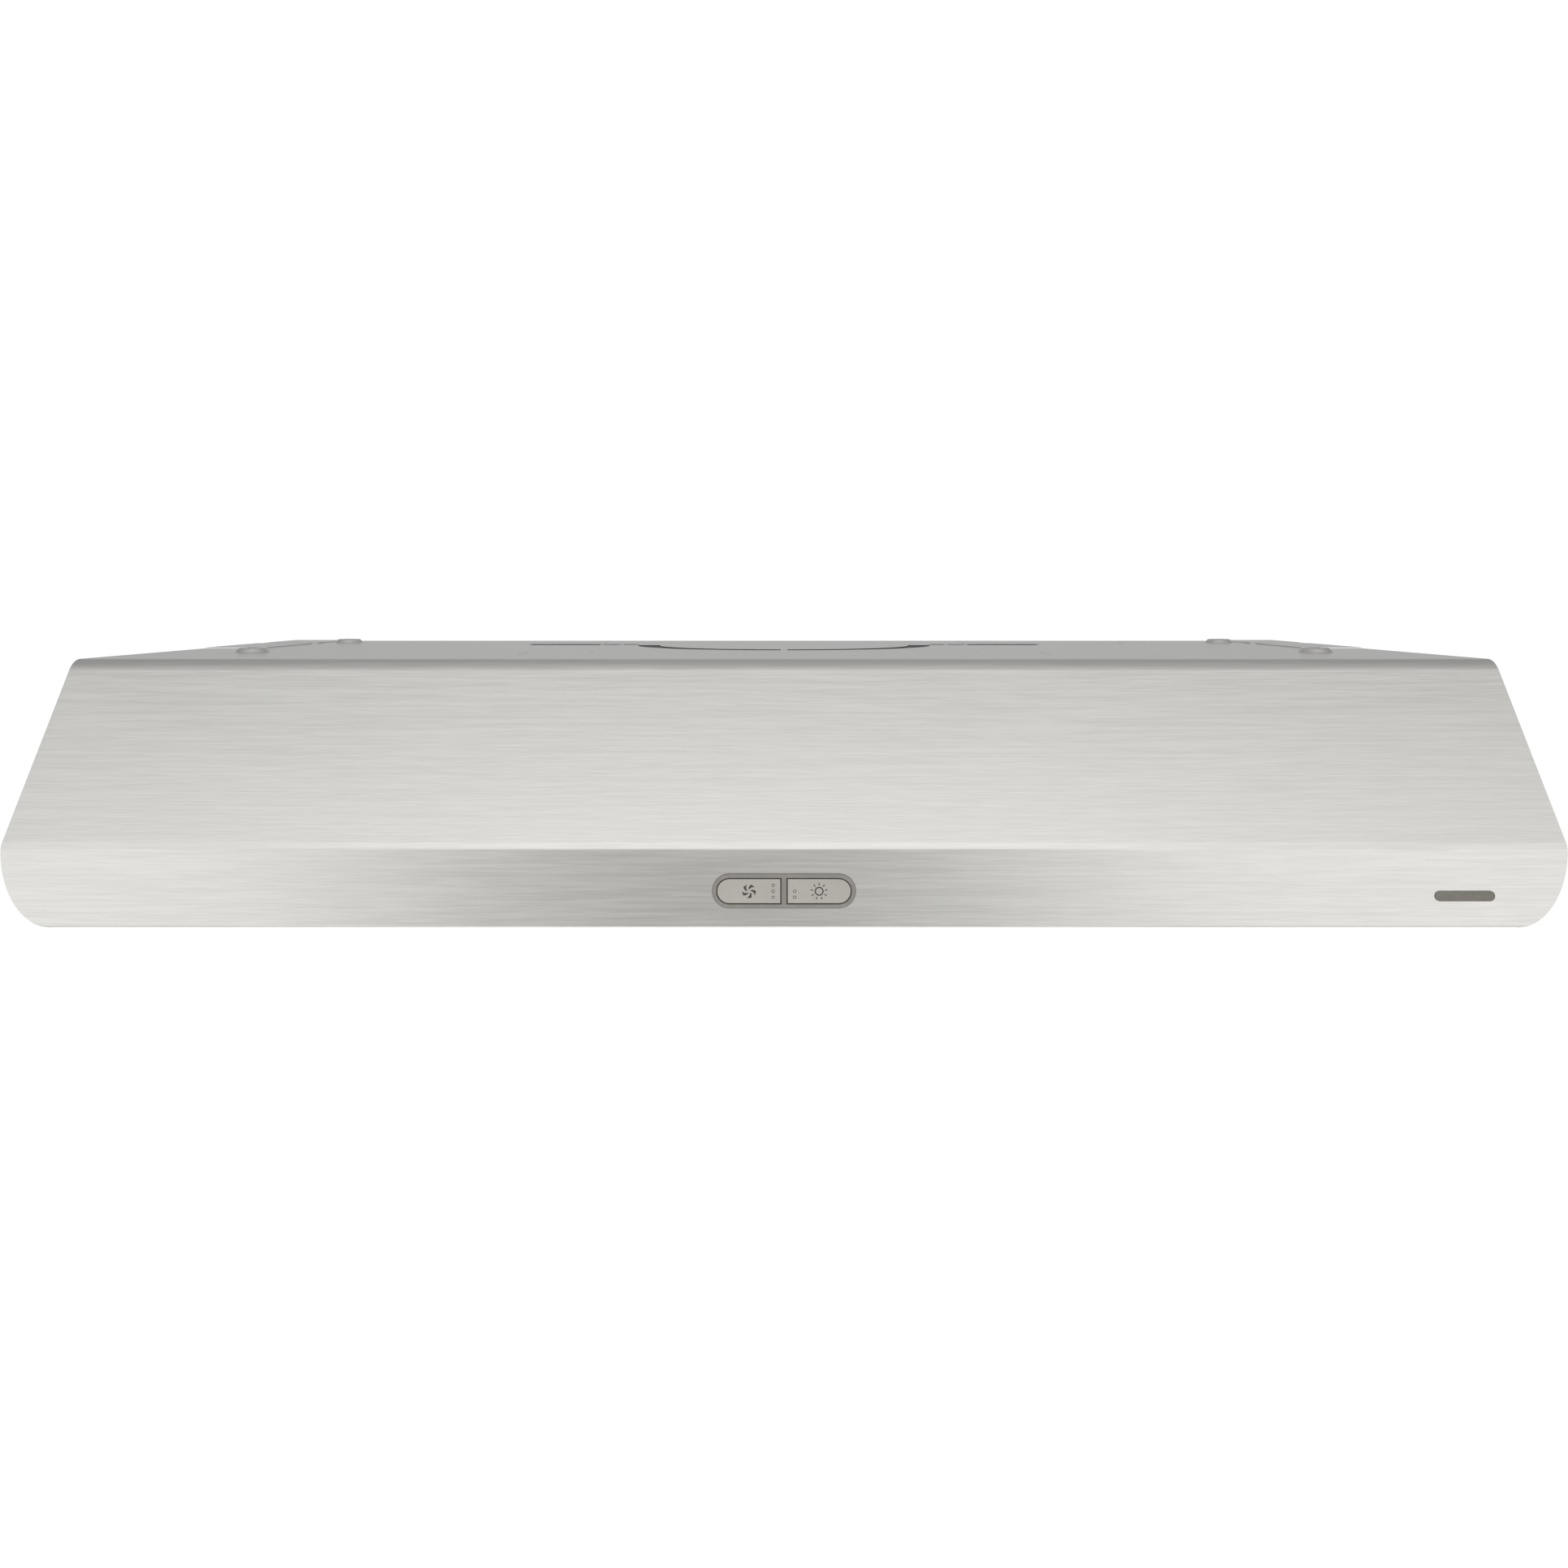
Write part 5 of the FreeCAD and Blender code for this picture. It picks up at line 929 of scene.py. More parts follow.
    def build_canopy(self) -> Piece:
        """Apron, slant and top, bent from one sheet.

        Returns:
            The canopy, carved and shaded.
        """
        canopy = prism("canopy", Run.ACROSS, sheet_outline(self.line, self.radii, 0.0, -self.sheet),
                       -self.half, self.half)
        carve(canopy, [prism("outline", Run.BACK, self.front_outline(), self.front - 5.0, self.wall + 5.0)],
              "INTERSECT")
        cutters = self.top_cutters()
        rim_end = self.half - self.roll_across - self.gap
        for side in (-1, 1):
            xs = sorted((side * rim_end, side * (self.half + 1)))
            cutters.append(block("notch", (xs[0], self.front + self.sheet, self.bottom - 1),
                                 (xs[1], self.front + self.rim + 2.0, self.bottom + self.rim_return + 1)))
            xs = sorted((side * (self.half - self.sheet - self.gap), side * (self.half + 1)))
            for near, far in self.tabs:
                cutters.append(block("tab_notch", (xs[0], self.front + near - self.gap, self.top - 2),
                                     (xs[1], self.front + far + self.gap, self.top + 1)))
        control = pill((-40.9, 40.9), self.bottom + 21.5, 18.2)
        cutters.append(prism("control", Run.BACK, control, self.front - 2.0, self.front + 2.0))
        carve(canopy, cutters)
        outer, inner, holes = self.bosses()
        carve(canopy, outer, "UNION")
        carve(canopy, inner)
        carve(canopy, holes)
        return shaded(canopy)

    def build_end(self) -> Piece:
        """Right end wall with its roll, rim, flange and tabs.

        Returns:
            The panel, shaded.
        """
        low, lip = self.bottom, self.bottom + self.rim_return
        outer = [(self.rim_x, lip), (self.rim_x, low)] + self.corner(0.0) + [(self.half, self.top)]
        inner = [(self.rim_x + self.sheet, lip), (self.rim_x + self.sheet, low + self.sheet)]
        inner += self.corner(self.sheet) + [(self.half - self.sheet, self.top)]
        panel = prism("end", Run.BACK, outer + inner[::-1], self.front, self.wall)
        skin = bent_line(self.line[2:], self.radii[2:], -self.sheet)
        skin += [(self.wall, low - 2), (skin[0][0], low - 2)]
        carve(panel, [prism("inside", Run.ACROSS, skin, 0.0, 500.0)], "INTERSECT")
        carve(panel, [
            block("front_rim", (self.rim_x - 1, self.front, low - 1),
                  (self.half - self.roll_across, self.front + self.rim + self.gap, lip + 1)),
            block("rear", (0.0, self.wall - self.sheet - self.gap, low - 1),
                  (self.half - self.sheet, self.wall + 1, self.top + 1)),
        ])
        parts = [panel]
        flange = sheet_outline(self.line[2:], self.radii[2:], -self.sheet - 0.02, -2 * self.sheet)
        parts.append(carve(
            prism("flange", Run.ACROSS, flange, self.half - self.flange, self.half - self.sheet),
            [block("low", (0.0, -400.0, low - 2), (500.0, self.wall + 1, low + self.roll_tall))],
        ))
        tab = bent_line([(self.half - self.tab_reach, self.top + self.sheet), (self.half, self.top + self.sheet),
                         (self.half, self.top - self.sheet)], (0.7,), 0.0, 15.0)
        tab += [(self.half - self.sheet, self.top - self.sheet), (self.half - self.sheet, self.top),
                (self.half - self.tab_reach, self.top)]
        parts += [prism("tab", Run.BACK, tab, self.front + near, self.front + far) for near, far in self.tabs]
        return shaded(merged("right_end", parts))

    def _is_cut_in_top(self, spot: Vector, normal: Vector) -> bool:
        """Whether a face is a sheared edge of the top sheet's openings; these faces get near-black painted shade.
        """
        in_sheet = self.top - self.sheet < spot.z < self.top + 0.01
        return in_sheet and abs(normal.z) < 0.97 and abs(spot.x) < 450.0 and self.front + 90.0 < spot.y < 165.0

    def _is_on_top(self, spot: Vector, normal: Vector) -> bool:
        """Whether a face belongs to an end panel's tabs, which lie on the top sheet."""
        return spot.z > self.top - 0.05

    def build(self) -> None:
        """Make and dress the three sheets."""
        canopy = self.build_canopy()
        finished(canopy, "hood", "stainless", ("canopy_shell",))
        # The slot walls get near-black painted shade.
        repainted(canopy, "sheared_edge", self._is_cut_in_top)
        right = self.build_end()
        left = mirrored(right, "left_end")
        for panel, node in ((right, "right_end_panel"), (left, "left_end_panel")):
            finished(panel, "hood", "stainless", (node,), "stainless_ends")
            repainted(panel, "stainless", self._is_on_top)


@dataclass
class Underside:
    """Recessed pan, grease filters, pull rings and lamps."""

    pan_front: float = -316.5
    pan_rear: float = 143.5
    rim_x: float = 402.5
    pan: float = -135.5
    bottom: float = -155.5
    sheet: float = 0.8
    bay_x: Pair = (12.0, 368.5)
    bay_y: Pair = (-220.5, 87.5)
    lip: float = 8.0
    lamp_x: float = 250.0
    lamp_y: float = -268.5
    lamp_hole: float = 34.0
    gap: float = 2.0
    thick: float = 9.0
    rail: float = 14.0
    wire: float = 1.25

    def build_pan(self) -> Piece:
        """Pan with a soft corner all round its recess."""
        low = self.bottom + 1.6
        pan = block("pan", (-self.rim_x, self.pan_front, low), (self.rim_x, self.pan_rear, self.pan + self.sheet))
        hollow = block("hollow", (self.sheet - self.rim_x, self.pan_front + self.sheet, low - 20),
                       (self.rim_x - self.sheet, self.pan_rear - self.sheet, self.pan))
        carve(pan, [eased(hollow, 2.0, 4)])
        eased(pan, 0.3, 1, 60.0)
        cutters, lips = [], []
        for side in (-1, 1):
            xs = sorted(side * x for x in self.bay_x)
            cutters.append(block("bay", (xs[0], self.bay_y[0], self.pan - 5),
                                 (xs[1], self.bay_y[1], self.pan + 5)))
            middle = (side * self.lamp_x, self.lamp_y, self.pan)
            cutters.append(lathe("lamp_hole", Run.UP, middle, [(0, -5), (self.lamp_hole, -5), (self.lamp_hole, 5),
                                                               (0, 5)]))
            for x in (xs[0] - self.sheet, xs[1]):
                lips.append(block("lip", (x, self.bay_y[0], self.pan + 0.4),
                                  (x + self.sheet, self.bay_y[1], self.pan + self.lip)))
        carve(pan, cutters)
        return shaded(merged("pan", [pan] + lips))

    def build_filter(self) -> tuple[Piece, Piece]:
        """Right filter: its folded frame and its two layers of expanded mesh."""
        inset = self.gap + self.rail
        low = (self.bay_x[0] + self.gap, self.bay_y[0] + self.gap, self.pan)
        high = (self.bay_x[1] - self.gap, self.bay_y[1] - self.gap, self.pan + self.thick)
        rail = block("rail", low, high)
        carve(rail, [block("window", (low[0] + self.rail, low[1] + self.rail, self.pan - 5),
                           (high[0] - self.rail, high[1] - self.rail, self.pan + 15))])
        eased(rail, 1.3, 3)
        seams = [self._seam(x, y, dx, dy) for x, dx in ((low[0], 1), (high[0], -1))
                 for y, dy in ((low[1], 1), (high[1], -1))]
        carve(rail, seams)
        parts = [rail]
        quarter = (self.bay_x[1] - self.bay_x[0]) / 4
        middle = (self.bay_x[0] + self.bay_x[1]) / 2
        for shift in (-quarter, quarter):
            hook = block("hook", (middle + shift - 15, high[1] - 0.5, self.pan + 1.1),
                         (middle + shift + 15, self.bay_y[1] + 9.0, self.pan + 2.3))
            parts.append(eased(hook, 0.4, 2))
        layers = []
        across = self.bay_x[1] - self.bay_x[0] - 2 * inset + 6
        deep = self.bay_y[1] - self.bay_y[0] - 2 * inset + 6
        for height, cell in ((3.9, (9.0, 5.0)), (5.2, (7.6, 6.2))):
            seed = block("layer", (0, 0, 0), (1, 1, 1))
            layers.append(fill_in(seed, PATTERNS.lattice, {
                "Across": across * MM, "Deep": deep * MM, "Diamond Across": cell[0] * MM,
                "Diamond Deep": cell[1] * MM, "Strand": 0.9 * MM,
                "Middle": (middle * MM, (self.bay_y[0] + self.bay_y[1]) / 2 * MM, (self.pan + height) * MM),
                "Material": FINISHES["filter_aluminium"].material(),
            }))
        return shaded(merged("right_frame", parts)), merged("right_mesh", layers)

    def _seam(self, x: float, y: float, dx: int, dy: int) -> Piece:
        """Shallow mitre line across one corner of the frame."""
        thin = 0.2
        reach = self.rail
        outline = [(x - dx * 1, y - dy * 1 - thin), (x - dx * 1, y - dy * 1 + thin),
                   (x + dx * reach, y + dy * reach + thin), (x + dx * reach, y + dy * reach - thin)]
        return prism("seam", Run.UP, outline, self.pan - 1.0, self.pan + 0.35)

    def build_pull(self) -> tuple[Piece, Piece]:
        """Right pull ring and the staple it hangs in."""
        middle = (self.bay_x[0] + self.bay_x[1]) / 2
        y = self.bay_y[0] + self.gap + self.rail / 2
        barrel = self.wire + 0.1 + 1.2
        z = self.pan - barrel
        section = [(self.wire + 0.1, -4.0), (barrel - 0.3, -4.0), (barrel, -3.7), (barrel, 3.7),
                   (barrel - 0.3, 4.0), (self.wire + 0.1, 4.0)]
        parts = [lathe("barrel", Run.ACROSS, (middle, y, z), section, closed=True, steps=48)]
        foot = block("foot", (middle - 12, y - barrel, self.pan - 0.6), (middle + 12, y + barrel, self.pan))
        parts.append(eased(foot, 0.25, 2))
        half, drop_by = 10.0 - self.wire, 14.0 - self.wire
        ring = bent_line([(0, 0), (half, 0), (half, -drop_by), (-half, -drop_by), (-half, 0), (0, 0)],
                         (2.5, half - 1, half - 1, 2.5), 0.0, 7.0)
        spine = [(middle + x, y, z + rise) for x, rise in ring[:-1]]
        return shaded(merged("right_staple", parts)), shaded(tube("right_ring", spine, (0, 1, 0), self.wire))

    def build_lamp(self) -> tuple[Piece, Piece]:
        """Right lamp's trim ring and its frosted lens."""
        low, high = (corner.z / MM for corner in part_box("right_lamp_trim"))
        lens_low, lens_high = (corner.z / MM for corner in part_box("right_lamp_lens"))
        section = [(30.0, 0.9), (30.2, 0.35), (30.8, 0.0), (36.0, 0.15), (38.4, 0.35), (39.5, 0.8), (40.0, 1.5),
                   (40.0, 2.2), (33.5, 2.2), (33.5, high - low), (32.0, high - low), (32.0, lens_low - low),
                   (30.0, lens_low - low)]
        middle = (self.lamp_x, self.lamp_y, low)
        trim = lathe("right_trim", Run.UP, middle, section, closed=True, steps=128)
        tall = lens_high - lens_low
        lens = lathe("right_lens", Run.UP, (self.lamp_x, self.lamp_y, lens_low),
                     [(0.0, 0.0), (29.8, 0.0), (31.5, 0.15), (31.9, 0.5), (31.9, tall), (0.0, tall)], steps=128)
        return shaded(trim), shaded(lens)

    def build(self) -> None:
        """Make and dress the pan, both filters, both rings and both lamps."""
        finished(self.build_pan(), "hood", "pan_steel", ("bottom_pan",))
        rail, layers = self.build_filter()
        staple, ring = self.build_pull()
        trim, lens = self.build_lamp()
        pieces = (
            (rail, "frame", "filter_aluminium", "{}_filter_frame", "{}_filter"),
            (layers, "mesh", "filter_aluminium", "{}_filter_mesh", "{}_filter"),
            (staple, "staple", "plated_steel", "{}_pull_staple", "{}_filter"),
            (ring, "ring", "plated_steel", "{}_pull_ring", "{}_ring"),
            (trim, "trim", "lamp_trim", "{}_lamp_trim", "hood"),
            (lens, "lens", "lamp_glass", "{}_lamp_lens", "hood"),
        )
        for piece, label, slot, node, body in pieces:
            other = mirrored(piece, "left_" + label)
            finished(piece, body.format("right"), slot, (node.format("right"),))
            finished(other, body.format("left"), slot, (node.format("left"),))


@dataclass
class Controls:
    """Bezel, two keys with printed symbols, level dots and the plain badge."""

    front: float = -340.5
    proud: float = 1.2
    key_proud: float = 0.2
    middle: float = -134.0
    half: float = 41.9
    tall: float = 20.2
    key_across: float = 36.6
    key_tall: float = 14.0
    divider: float = 4.3
    gap: float = 0.3
    print_thick: float = 0.04
    dot_step: float = 3.5
    dot_r: float = 0.95
    dot_hole: float = 0.5
    dots_x: Pair = (-6.3, 6.2)
    symbols_x: Pair = (-20.3, 20.4)
    badge_x: Pair = (378.1, 413.1)
    badge_z: float = -137.0
    badge_tall: float = 6.1

    def key_outline(self, side: int, inset: float) -> Outline:
        """Outline of one key, full-round at its outer end."""
        ends = (side * (self.divider / 2 + inset), side * (self.divider / 2 + self.key_across - inset))
        return pill((min(ends), max(ends)), self.middle, self.key_tall - 2 * inset, side < 0, side > 0)

    def pocket_outline(self, side: int, inset: float) -> Outline:
        """Outline of the pocket behind one key."""
        ends = (side * (self.divider / 2 - self.gap + inset), side * (self.half - 1.95 - inset))
        return pill((min(ends), max(ends)), self.middle, self.tall - 3.9 - 2 * inset, side < 0, side > 0)

    def rounded(self, name: str, outline: Callable[[float], Outline], front: float, rear: float,
                ease: float) -> Piece:
        """Plate with a rounded front edge.

        Args:
            name: the piece's name.
            outline: gives the outline for an inset.
            front: Y of its front face.
            rear: Y of its rear face.
            ease: radius of the edge.

        Returns:
            The plate.
        """
        rings = [(outline(0.0), rear)]
        for place in range(5):
            angle = math.radians(90 * place / 4)
            rings.append((outline(ease * (1 - math.cos(angle))), front + ease * (1 - math.sin(angle))))
        return loft(name, Run.BACK, rings)

    def build_bezel(self) -> Piece:
        """Bezel with two key openings and a neck through the apron."""
        front = self.front - self.proud
        plate = self.rounded("plate", lambda inset: pill((inset - self.half, self.half - inset), self.middle,
                                                         self.tall - 2 * inset), front, self.front, 0.55)
        carve(plate, [prism("opening", Run.BACK, self.key_outline(side, -self.gap), front - 1, self.front + 1)
                      for side in (-1, 1)])
        reach = self.half - 1.15
        neck = prism("neck", Run.BACK, pill((-reach, reach), self.middle, self.tall - 2.3),
                     self.front - 0.1, self.front + 6.0)
        carve(neck, [prism("opening", Run.BACK, self.key_outline(side, -self.gap), front - 1, self.front + 8)
                     for side in (-1, 1)])
        carve(neck, [prism("pocket", Run.BACK, self.pocket_outline(side, 0.0), front + 3.0, self.front + 8)
                     for side in (-1, 1)])
        return shaded(merged("bezel", [plate, neck]))

    def build_key(self, side: int) -> Piece:
        """One key: cap, retaining flange and stem."""
        front = self.front - self.proud - self.key_proud + self.print_thick
        flange = self.front - self.proud + 3.3
        cap = self.rounded("cap", lambda inset: self.key_outline(side, inset), front, flange, 0.3)
        skirt = prism("skirt", Run.BACK, self.pocket_outline(side, self.gap), flange, flange + 1.2)
        x = side * (self.divider + self.key_across) / 2
        node = "fan_button" if side < 0 else "light_button"
        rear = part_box(node)[1].y / MM
        profile = [(0, flange + 1), (2, flange + 1), (2, rear), (0, rear)]
        stem = lathe("stem", Run.BACK, (x, 0, self.middle), profile, steps=24)
        return shaded(merged(node, [cap, skirt, stem]))

    def flat_mark(self, name: str, outlines: list[Outline], middle: Pair = (0.0, 0.0)) -> Piece:
        """Printed mark of one or more flat outlines, in front of a key's face."""
        front = self.front - self.proud - self.key_proud
        marks = [prism(name, Run.BACK, [(x + middle[0], z + middle[1]) for x, z in outline],
                       front, front + self.print_thick) for outline in outlines]
        return merged(name, marks)

    def outline_rings(self) -> Piece:
        """Painted shade lines round the bezel's edge and round both key openings, standing in for the shadows in
        the gaps.
        """
        front = self.front - self.proud
        edges = [(pill((0.1 - self.half, self.half - 0.1), self.middle, self.tall - 0.2),
                  pill((0.5 - self.half, self.half - 0.5), self.middle, self.tall - 1.0), front + 0.12)]
        edges += [(self.key_outline(side, -self.gap - 0.4), self.key_outline(side, -self.gap), front - 0.03)
                  for side in (-1, 1)]
        rings = [loft_ring("line", outer, inner, start, start + 0.5) for outer, inner, start in edges]
        return merged("control_lines", rings)

    def fan_blade(self) -> Outline:
        """One swept blade of the fan symbol, about its middle."""
        ahead, behind = [], []
        for place in range(13):
            share = place / 12
            radius = 1.1 + 3.0 * share
            lead = math.radians(38 * share ** 1.2)
            half = (0.20 + 1.10 * share) / radius
            ahead.append((radius * math.sin(lead + half), radius * math.cos(lead + half)))
            behind.append((radius * math.sin(lead - half), radius * math.cos(lead - half)))
        return ahead + behind[::-1]

    def around(self, name: str, item: Piece, count: int, x: float) -> Piece:
        """Copies of a mark round a key's symbol."""
        item.name = name
        return fill_in(item, PATTERNS.wheel, {
            "Count": count, "Middle": (x * MM, 0.0, self.middle * MM),
            "Material": FINISHES["key_print"].material(),
        })

    def build_symbols(self) -> None:
        """Fan and lamp symbols and the rims of the level dots."""
        fan_x, lamp_x = self.symbols_x
        fan = self.around("fan_symbol", self.flat_mark("blade", [self.fan_blade()]), 5, fan_x)
        ray = [(-0.26, 3.5), (0.26, 3.5), (0.26, 5.0), (-0.26, 5.0)]
        rays = self.around("rays", self.flat_mark("ray", [ray]), 9, lamp_x)
        front = self.front - self.proud - self.key_proud
        rear = front + self.print_thick
        section = [(1.9, front), (2.6, front), (2.6, rear), (1.9, rear)]
        circle = lathe("circle", Run.BACK, (lamp_x, 0, self.middle), section, closed=True, steps=64)
        lamp = merged("lamp_symbol", [rays, circle])
        for symbol, body, side in ((fan, "fan_key", -1), (lamp, "light_key", 1)):
            rims = [lathe("rim", Run.BACK, (x, 0, self.middle + rise), self._rim(front), closed=True, steps=32)
                    for x, rise in self.dot_places(side)]
            marks = merged(symbol.name + "_print", [symbol] + rims)
            finished(marks, body, "key_grey", (), "key_print")

    def _rim(self, front: float) -> Outline:
        """Section of a level dot's printed rim."""
        rear = front + self.print_thick
        return [(self.dot_hole, front), (self.dot_r, front), (self.dot_r, rear), (self.dot_hole, rear)]

    def dot_places(self, side: int) -> list[Pair]:
        """Across and rise of each level dot of one key."""
        if side < 0:
            return [(self.dots_x[0], step * self.dot_step) for step in (1, 0, -1)]
        return [(self.dots_x[1], step * self.dot_step) for step in (0, -1)]

    def build_dots(self, side: int) -> Piece:
        """Light pipes of one key."""
        front = self.front - self.proud - self.key_proud
        rear = self.front - self.proud + 4.5
        profile = [(0, front - 0.01), (0.5, front - 0.008), (self.dot_r - 0.2, front + 0.02),
                   (self.dot_r - 0.2, rear), (0, rear)]
        pipes = [lathe("pipe", Run.BACK, (x, 0, self.middle + rise), profile, steps=32)
                 for x, rise in self.dot_places(side)]
        return shaded(merged("fan_dots" if side < 0 else "light_dots", pipes))

    def build_badge(self) -> Piece:
        """Plain bar badge with rounded edges."""
        left, right = self.badge_x
        return shaded(self.rounded(
            "badge", lambda inset: pill((left + inset, right - inset), self.badge_z, self.badge_tall - 2 * inset),
            self.front - 0.8, self.front, 0.35))

    def build(self) -> None:
        """Make and dress the controls."""
        finished(self.build_bezel(), "hood", "bezel_grey", ("control_bezel",))
        # Painted shade lines at the bezel's edge and in the gaps round the keys.
        finished(self.outline_rings(), "hood", "bezel_grey", (), "key_print")
        finished(self.build_key(-1), "fan_key", "key_grey", ("fan_button",))
        finished(self.build_key(1), "light_key", "key_grey", ("light_button",))
        finished(self.build_dots(-1), "fan_key", "dot_lens", ("fan_level_dots",))
        finished(self.build_dots(1), "light_key", "dot_lens", ("light_level_dots",))
        finished(self.build_badge(), "hood", "badge_grey", ("badge_plate",))
        self.build_symbols()


@dataclass
class Fixings:
    """Screws and the cable bushing."""

    head_r: float = 4.0
    head_tall: float = 2.0
    shank_r: float = 2.0

    def places(self, node: str) -> tuple[list[Vector], list[Vector], float]:
        """Where a node's screws stand.

        Args:
            node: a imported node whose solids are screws.

        Returns:
            The middle of each head's seat, the way each head faces, and the shank's length.
        """
        work = bmesh.new()
        work.from_mesh(frame["nodes"][node].data)
        bmesh.ops.remove_doubles(work, verts=work.verts, dist=1e-6)
        work.verts.ensure_lookup_table()
        left = set(work.verts)
        seats, ways, length = [], [], 0.0
        while left:
            island = self._island(left)
            low, high = (Vector([pick(spot[axis] for spot in island) for axis in range(3)]) for pick in (min, max))
            size = high - low
            axis = max(range(3), key=lambda place: abs(size[place] - 2 * self.head_r * MM))
            middle = (low + high) / 2
            wide_low = self._girth(island, middle, axis, low[axis])
            wide_high = self._girth(island, middle, axis, high[axis])
            way = Vector((0, 0, 0))
            way[axis] = 1 if wide_high > wide_low else -1
            end = high[axis] if wide_high > wide_low else low[axis]
            seat = middle.copy()
            seat[axis] = end - way[axis] * self.head_tall * MM
            seats.append(seat)
            ways.append(way)
            length = size[axis] / MM - self.head_tall
        work.free()
        return seats, ways, length

    def _island(self, left: set) -> list[Vector]:
        """Take one joined set of points out of what is left."""
        waiting = [left.pop()]
        spots = []
        while waiting:
            point = waiting.pop()
            spots.append(point.co.copy())
            for edge in point.link_edges:
                other = edge.other_vert(point)
                if other in left:
                    left.remove(other)
                    waiting.append(other)
        return spots

    def _girth(self, island: list[Vector], middle: Vector, axis: int, end: float) -> float:
        """Largest reach from the axis among the points at one end."""
        reaches = [0.0]
        for spot in island:
            if abs(spot[axis] - end) < 0.05 * MM:
                arm = spot - middle
                arm[axis] = 0
                reaches.append(arm.length)
        return max(reaches)

    def screw(self, length: float) -> Piece:
        """One pan-head screw with a cross recess, its head upwards."""
        profile = [(0.0, 2.0), (1.6, 1.97), (2.7, 1.75), (3.5, 1.3), (3.9, 0.7), (4.0, 0.3), (3.9, 0.0),
                   (self.shank_r, 0.0), (self.shank_r, 0.4 - length), (1.6, -length), (0.0, -length)]
        body = lathe("screw", Run.UP, (0, 0, 0), profile, steps=32)
        carve(body, [block("bar", (-1.9, -0.45, 0.8), (1.9, 0.45, 3.0))])
        carve(body, [block("bar", (-0.45, -1.9, 0.8), (0.45, 1.9, 3.0))])
        return shaded(body)

    def build(self) -> None:
        """Replace every screw node, and make the bushing."""
        for node in ("sheet_screws", "collar_screws", "blower_screws", "board_screws"):
            seats, ways, length = self.places(node)
            template = self.screw(length)
            mesh = bpy.data.meshes.new(node)
            mesh.from_pydata(seats, [], [])
            way = mesh.attributes.new("way", "FLOAT_VECTOR", "POINT")
            way.data.foreach_set("vector", [part for direction in ways for part in direction])
            marks = linked("screws_" + node.split("_")[0], mesh)
            fill_in(marks, PATTERNS.marked, {"Part": template, "Seed": 7,
                                             "Material": FINISHES["plated_steel"].material()})
            drop(template)
            finished(marks, "hood", "plated_steel", (node,))
        low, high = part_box("cable_bushing")
        middle = (low + high) / (2 * MM)
        near, far = low.y / MM, high.y / MM
        section = [(8.0, near + 0.6), (8.6, near), (10.9, near), (10.9, far - 2.0), (13.4, far - 2.0),
                   (14.0, far - 1.4), (13.6, far - 0.4), (12.6, far), (8.9, far), (8.0, far - 0.8)]
        bushing = lathe("bushing", Run.BACK, (middle.x, 0, middle.z), section, closed=True, steps=64)
        finished(shaded(bushing), "hood", "bushing_black", ("cable_bushing",))


@dataclass
class InnerParts:
    """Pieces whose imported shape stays, with smooth round faces and a finish."""

    slots: tuple[tuple[str, tuple[str, ...]], ...] = (
        ("galvanised", ("back_panel", "duct_collar", "damper_flap", "capacitor_strap", "wiring_box",
                        "wiring_box_cover", "left_lamp_can", "right_lamp_can")),
        ("plated_steel", ("damper_pin", "wheel_nut", "motor_shaft", "motor_bearings")),
        ("spring_steel", ("filter_clips",)),
        ("black_housing", ("blower_top_plate", "scroll_wall", "blower_inlet_plate", "control_housing")),
        ("wheel_metal", ("blower_wheel",)),
        ("motor_black", ("motor_rotor", "motor_can", "motor_lid", "button_switches")),
        ("motor_copper", ("motor_stator",)),
        ("capacitor_white", ("motor_capacitor",)),
        ("board_green", ("control_board",)),
        ("socket_white", ("left_lamp_socket", "right_lamp_socket")),
        ("lead_grey", ("motor_lead", "control_lead", "left_lamp_lead", "right_lamp_lead")),
        ("bushing_black", ("lead_grommet",)),
        ("connector_red", ("wire_connectors",)),
    )

    def build(self) -> None:
        """Make a smooth copy of each node and dress it."""
        bodies = {node: piece["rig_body"] for node, piece in frame["nodes"].items()}
        for slot, nodes in self.slots:
            for node in nodes:
                mesh = frame["nodes"][node].data.copy()
                mesh.name = node
                work = bmesh.new()
                work.from_mesh(mesh)
                bmesh.ops.remove_doubles(work, verts=work.verts, dist=2e-6)
                bmesh.ops.dissolve_limit(work, angle_limit=math.radians(0.5), verts=work.verts, edges=work.edges)
                work.to_mesh(mesh)
                work.free()
                finished(shaded(linked("smooth_" + node, mesh)), bodies[node], slot, (node,))


# Studio

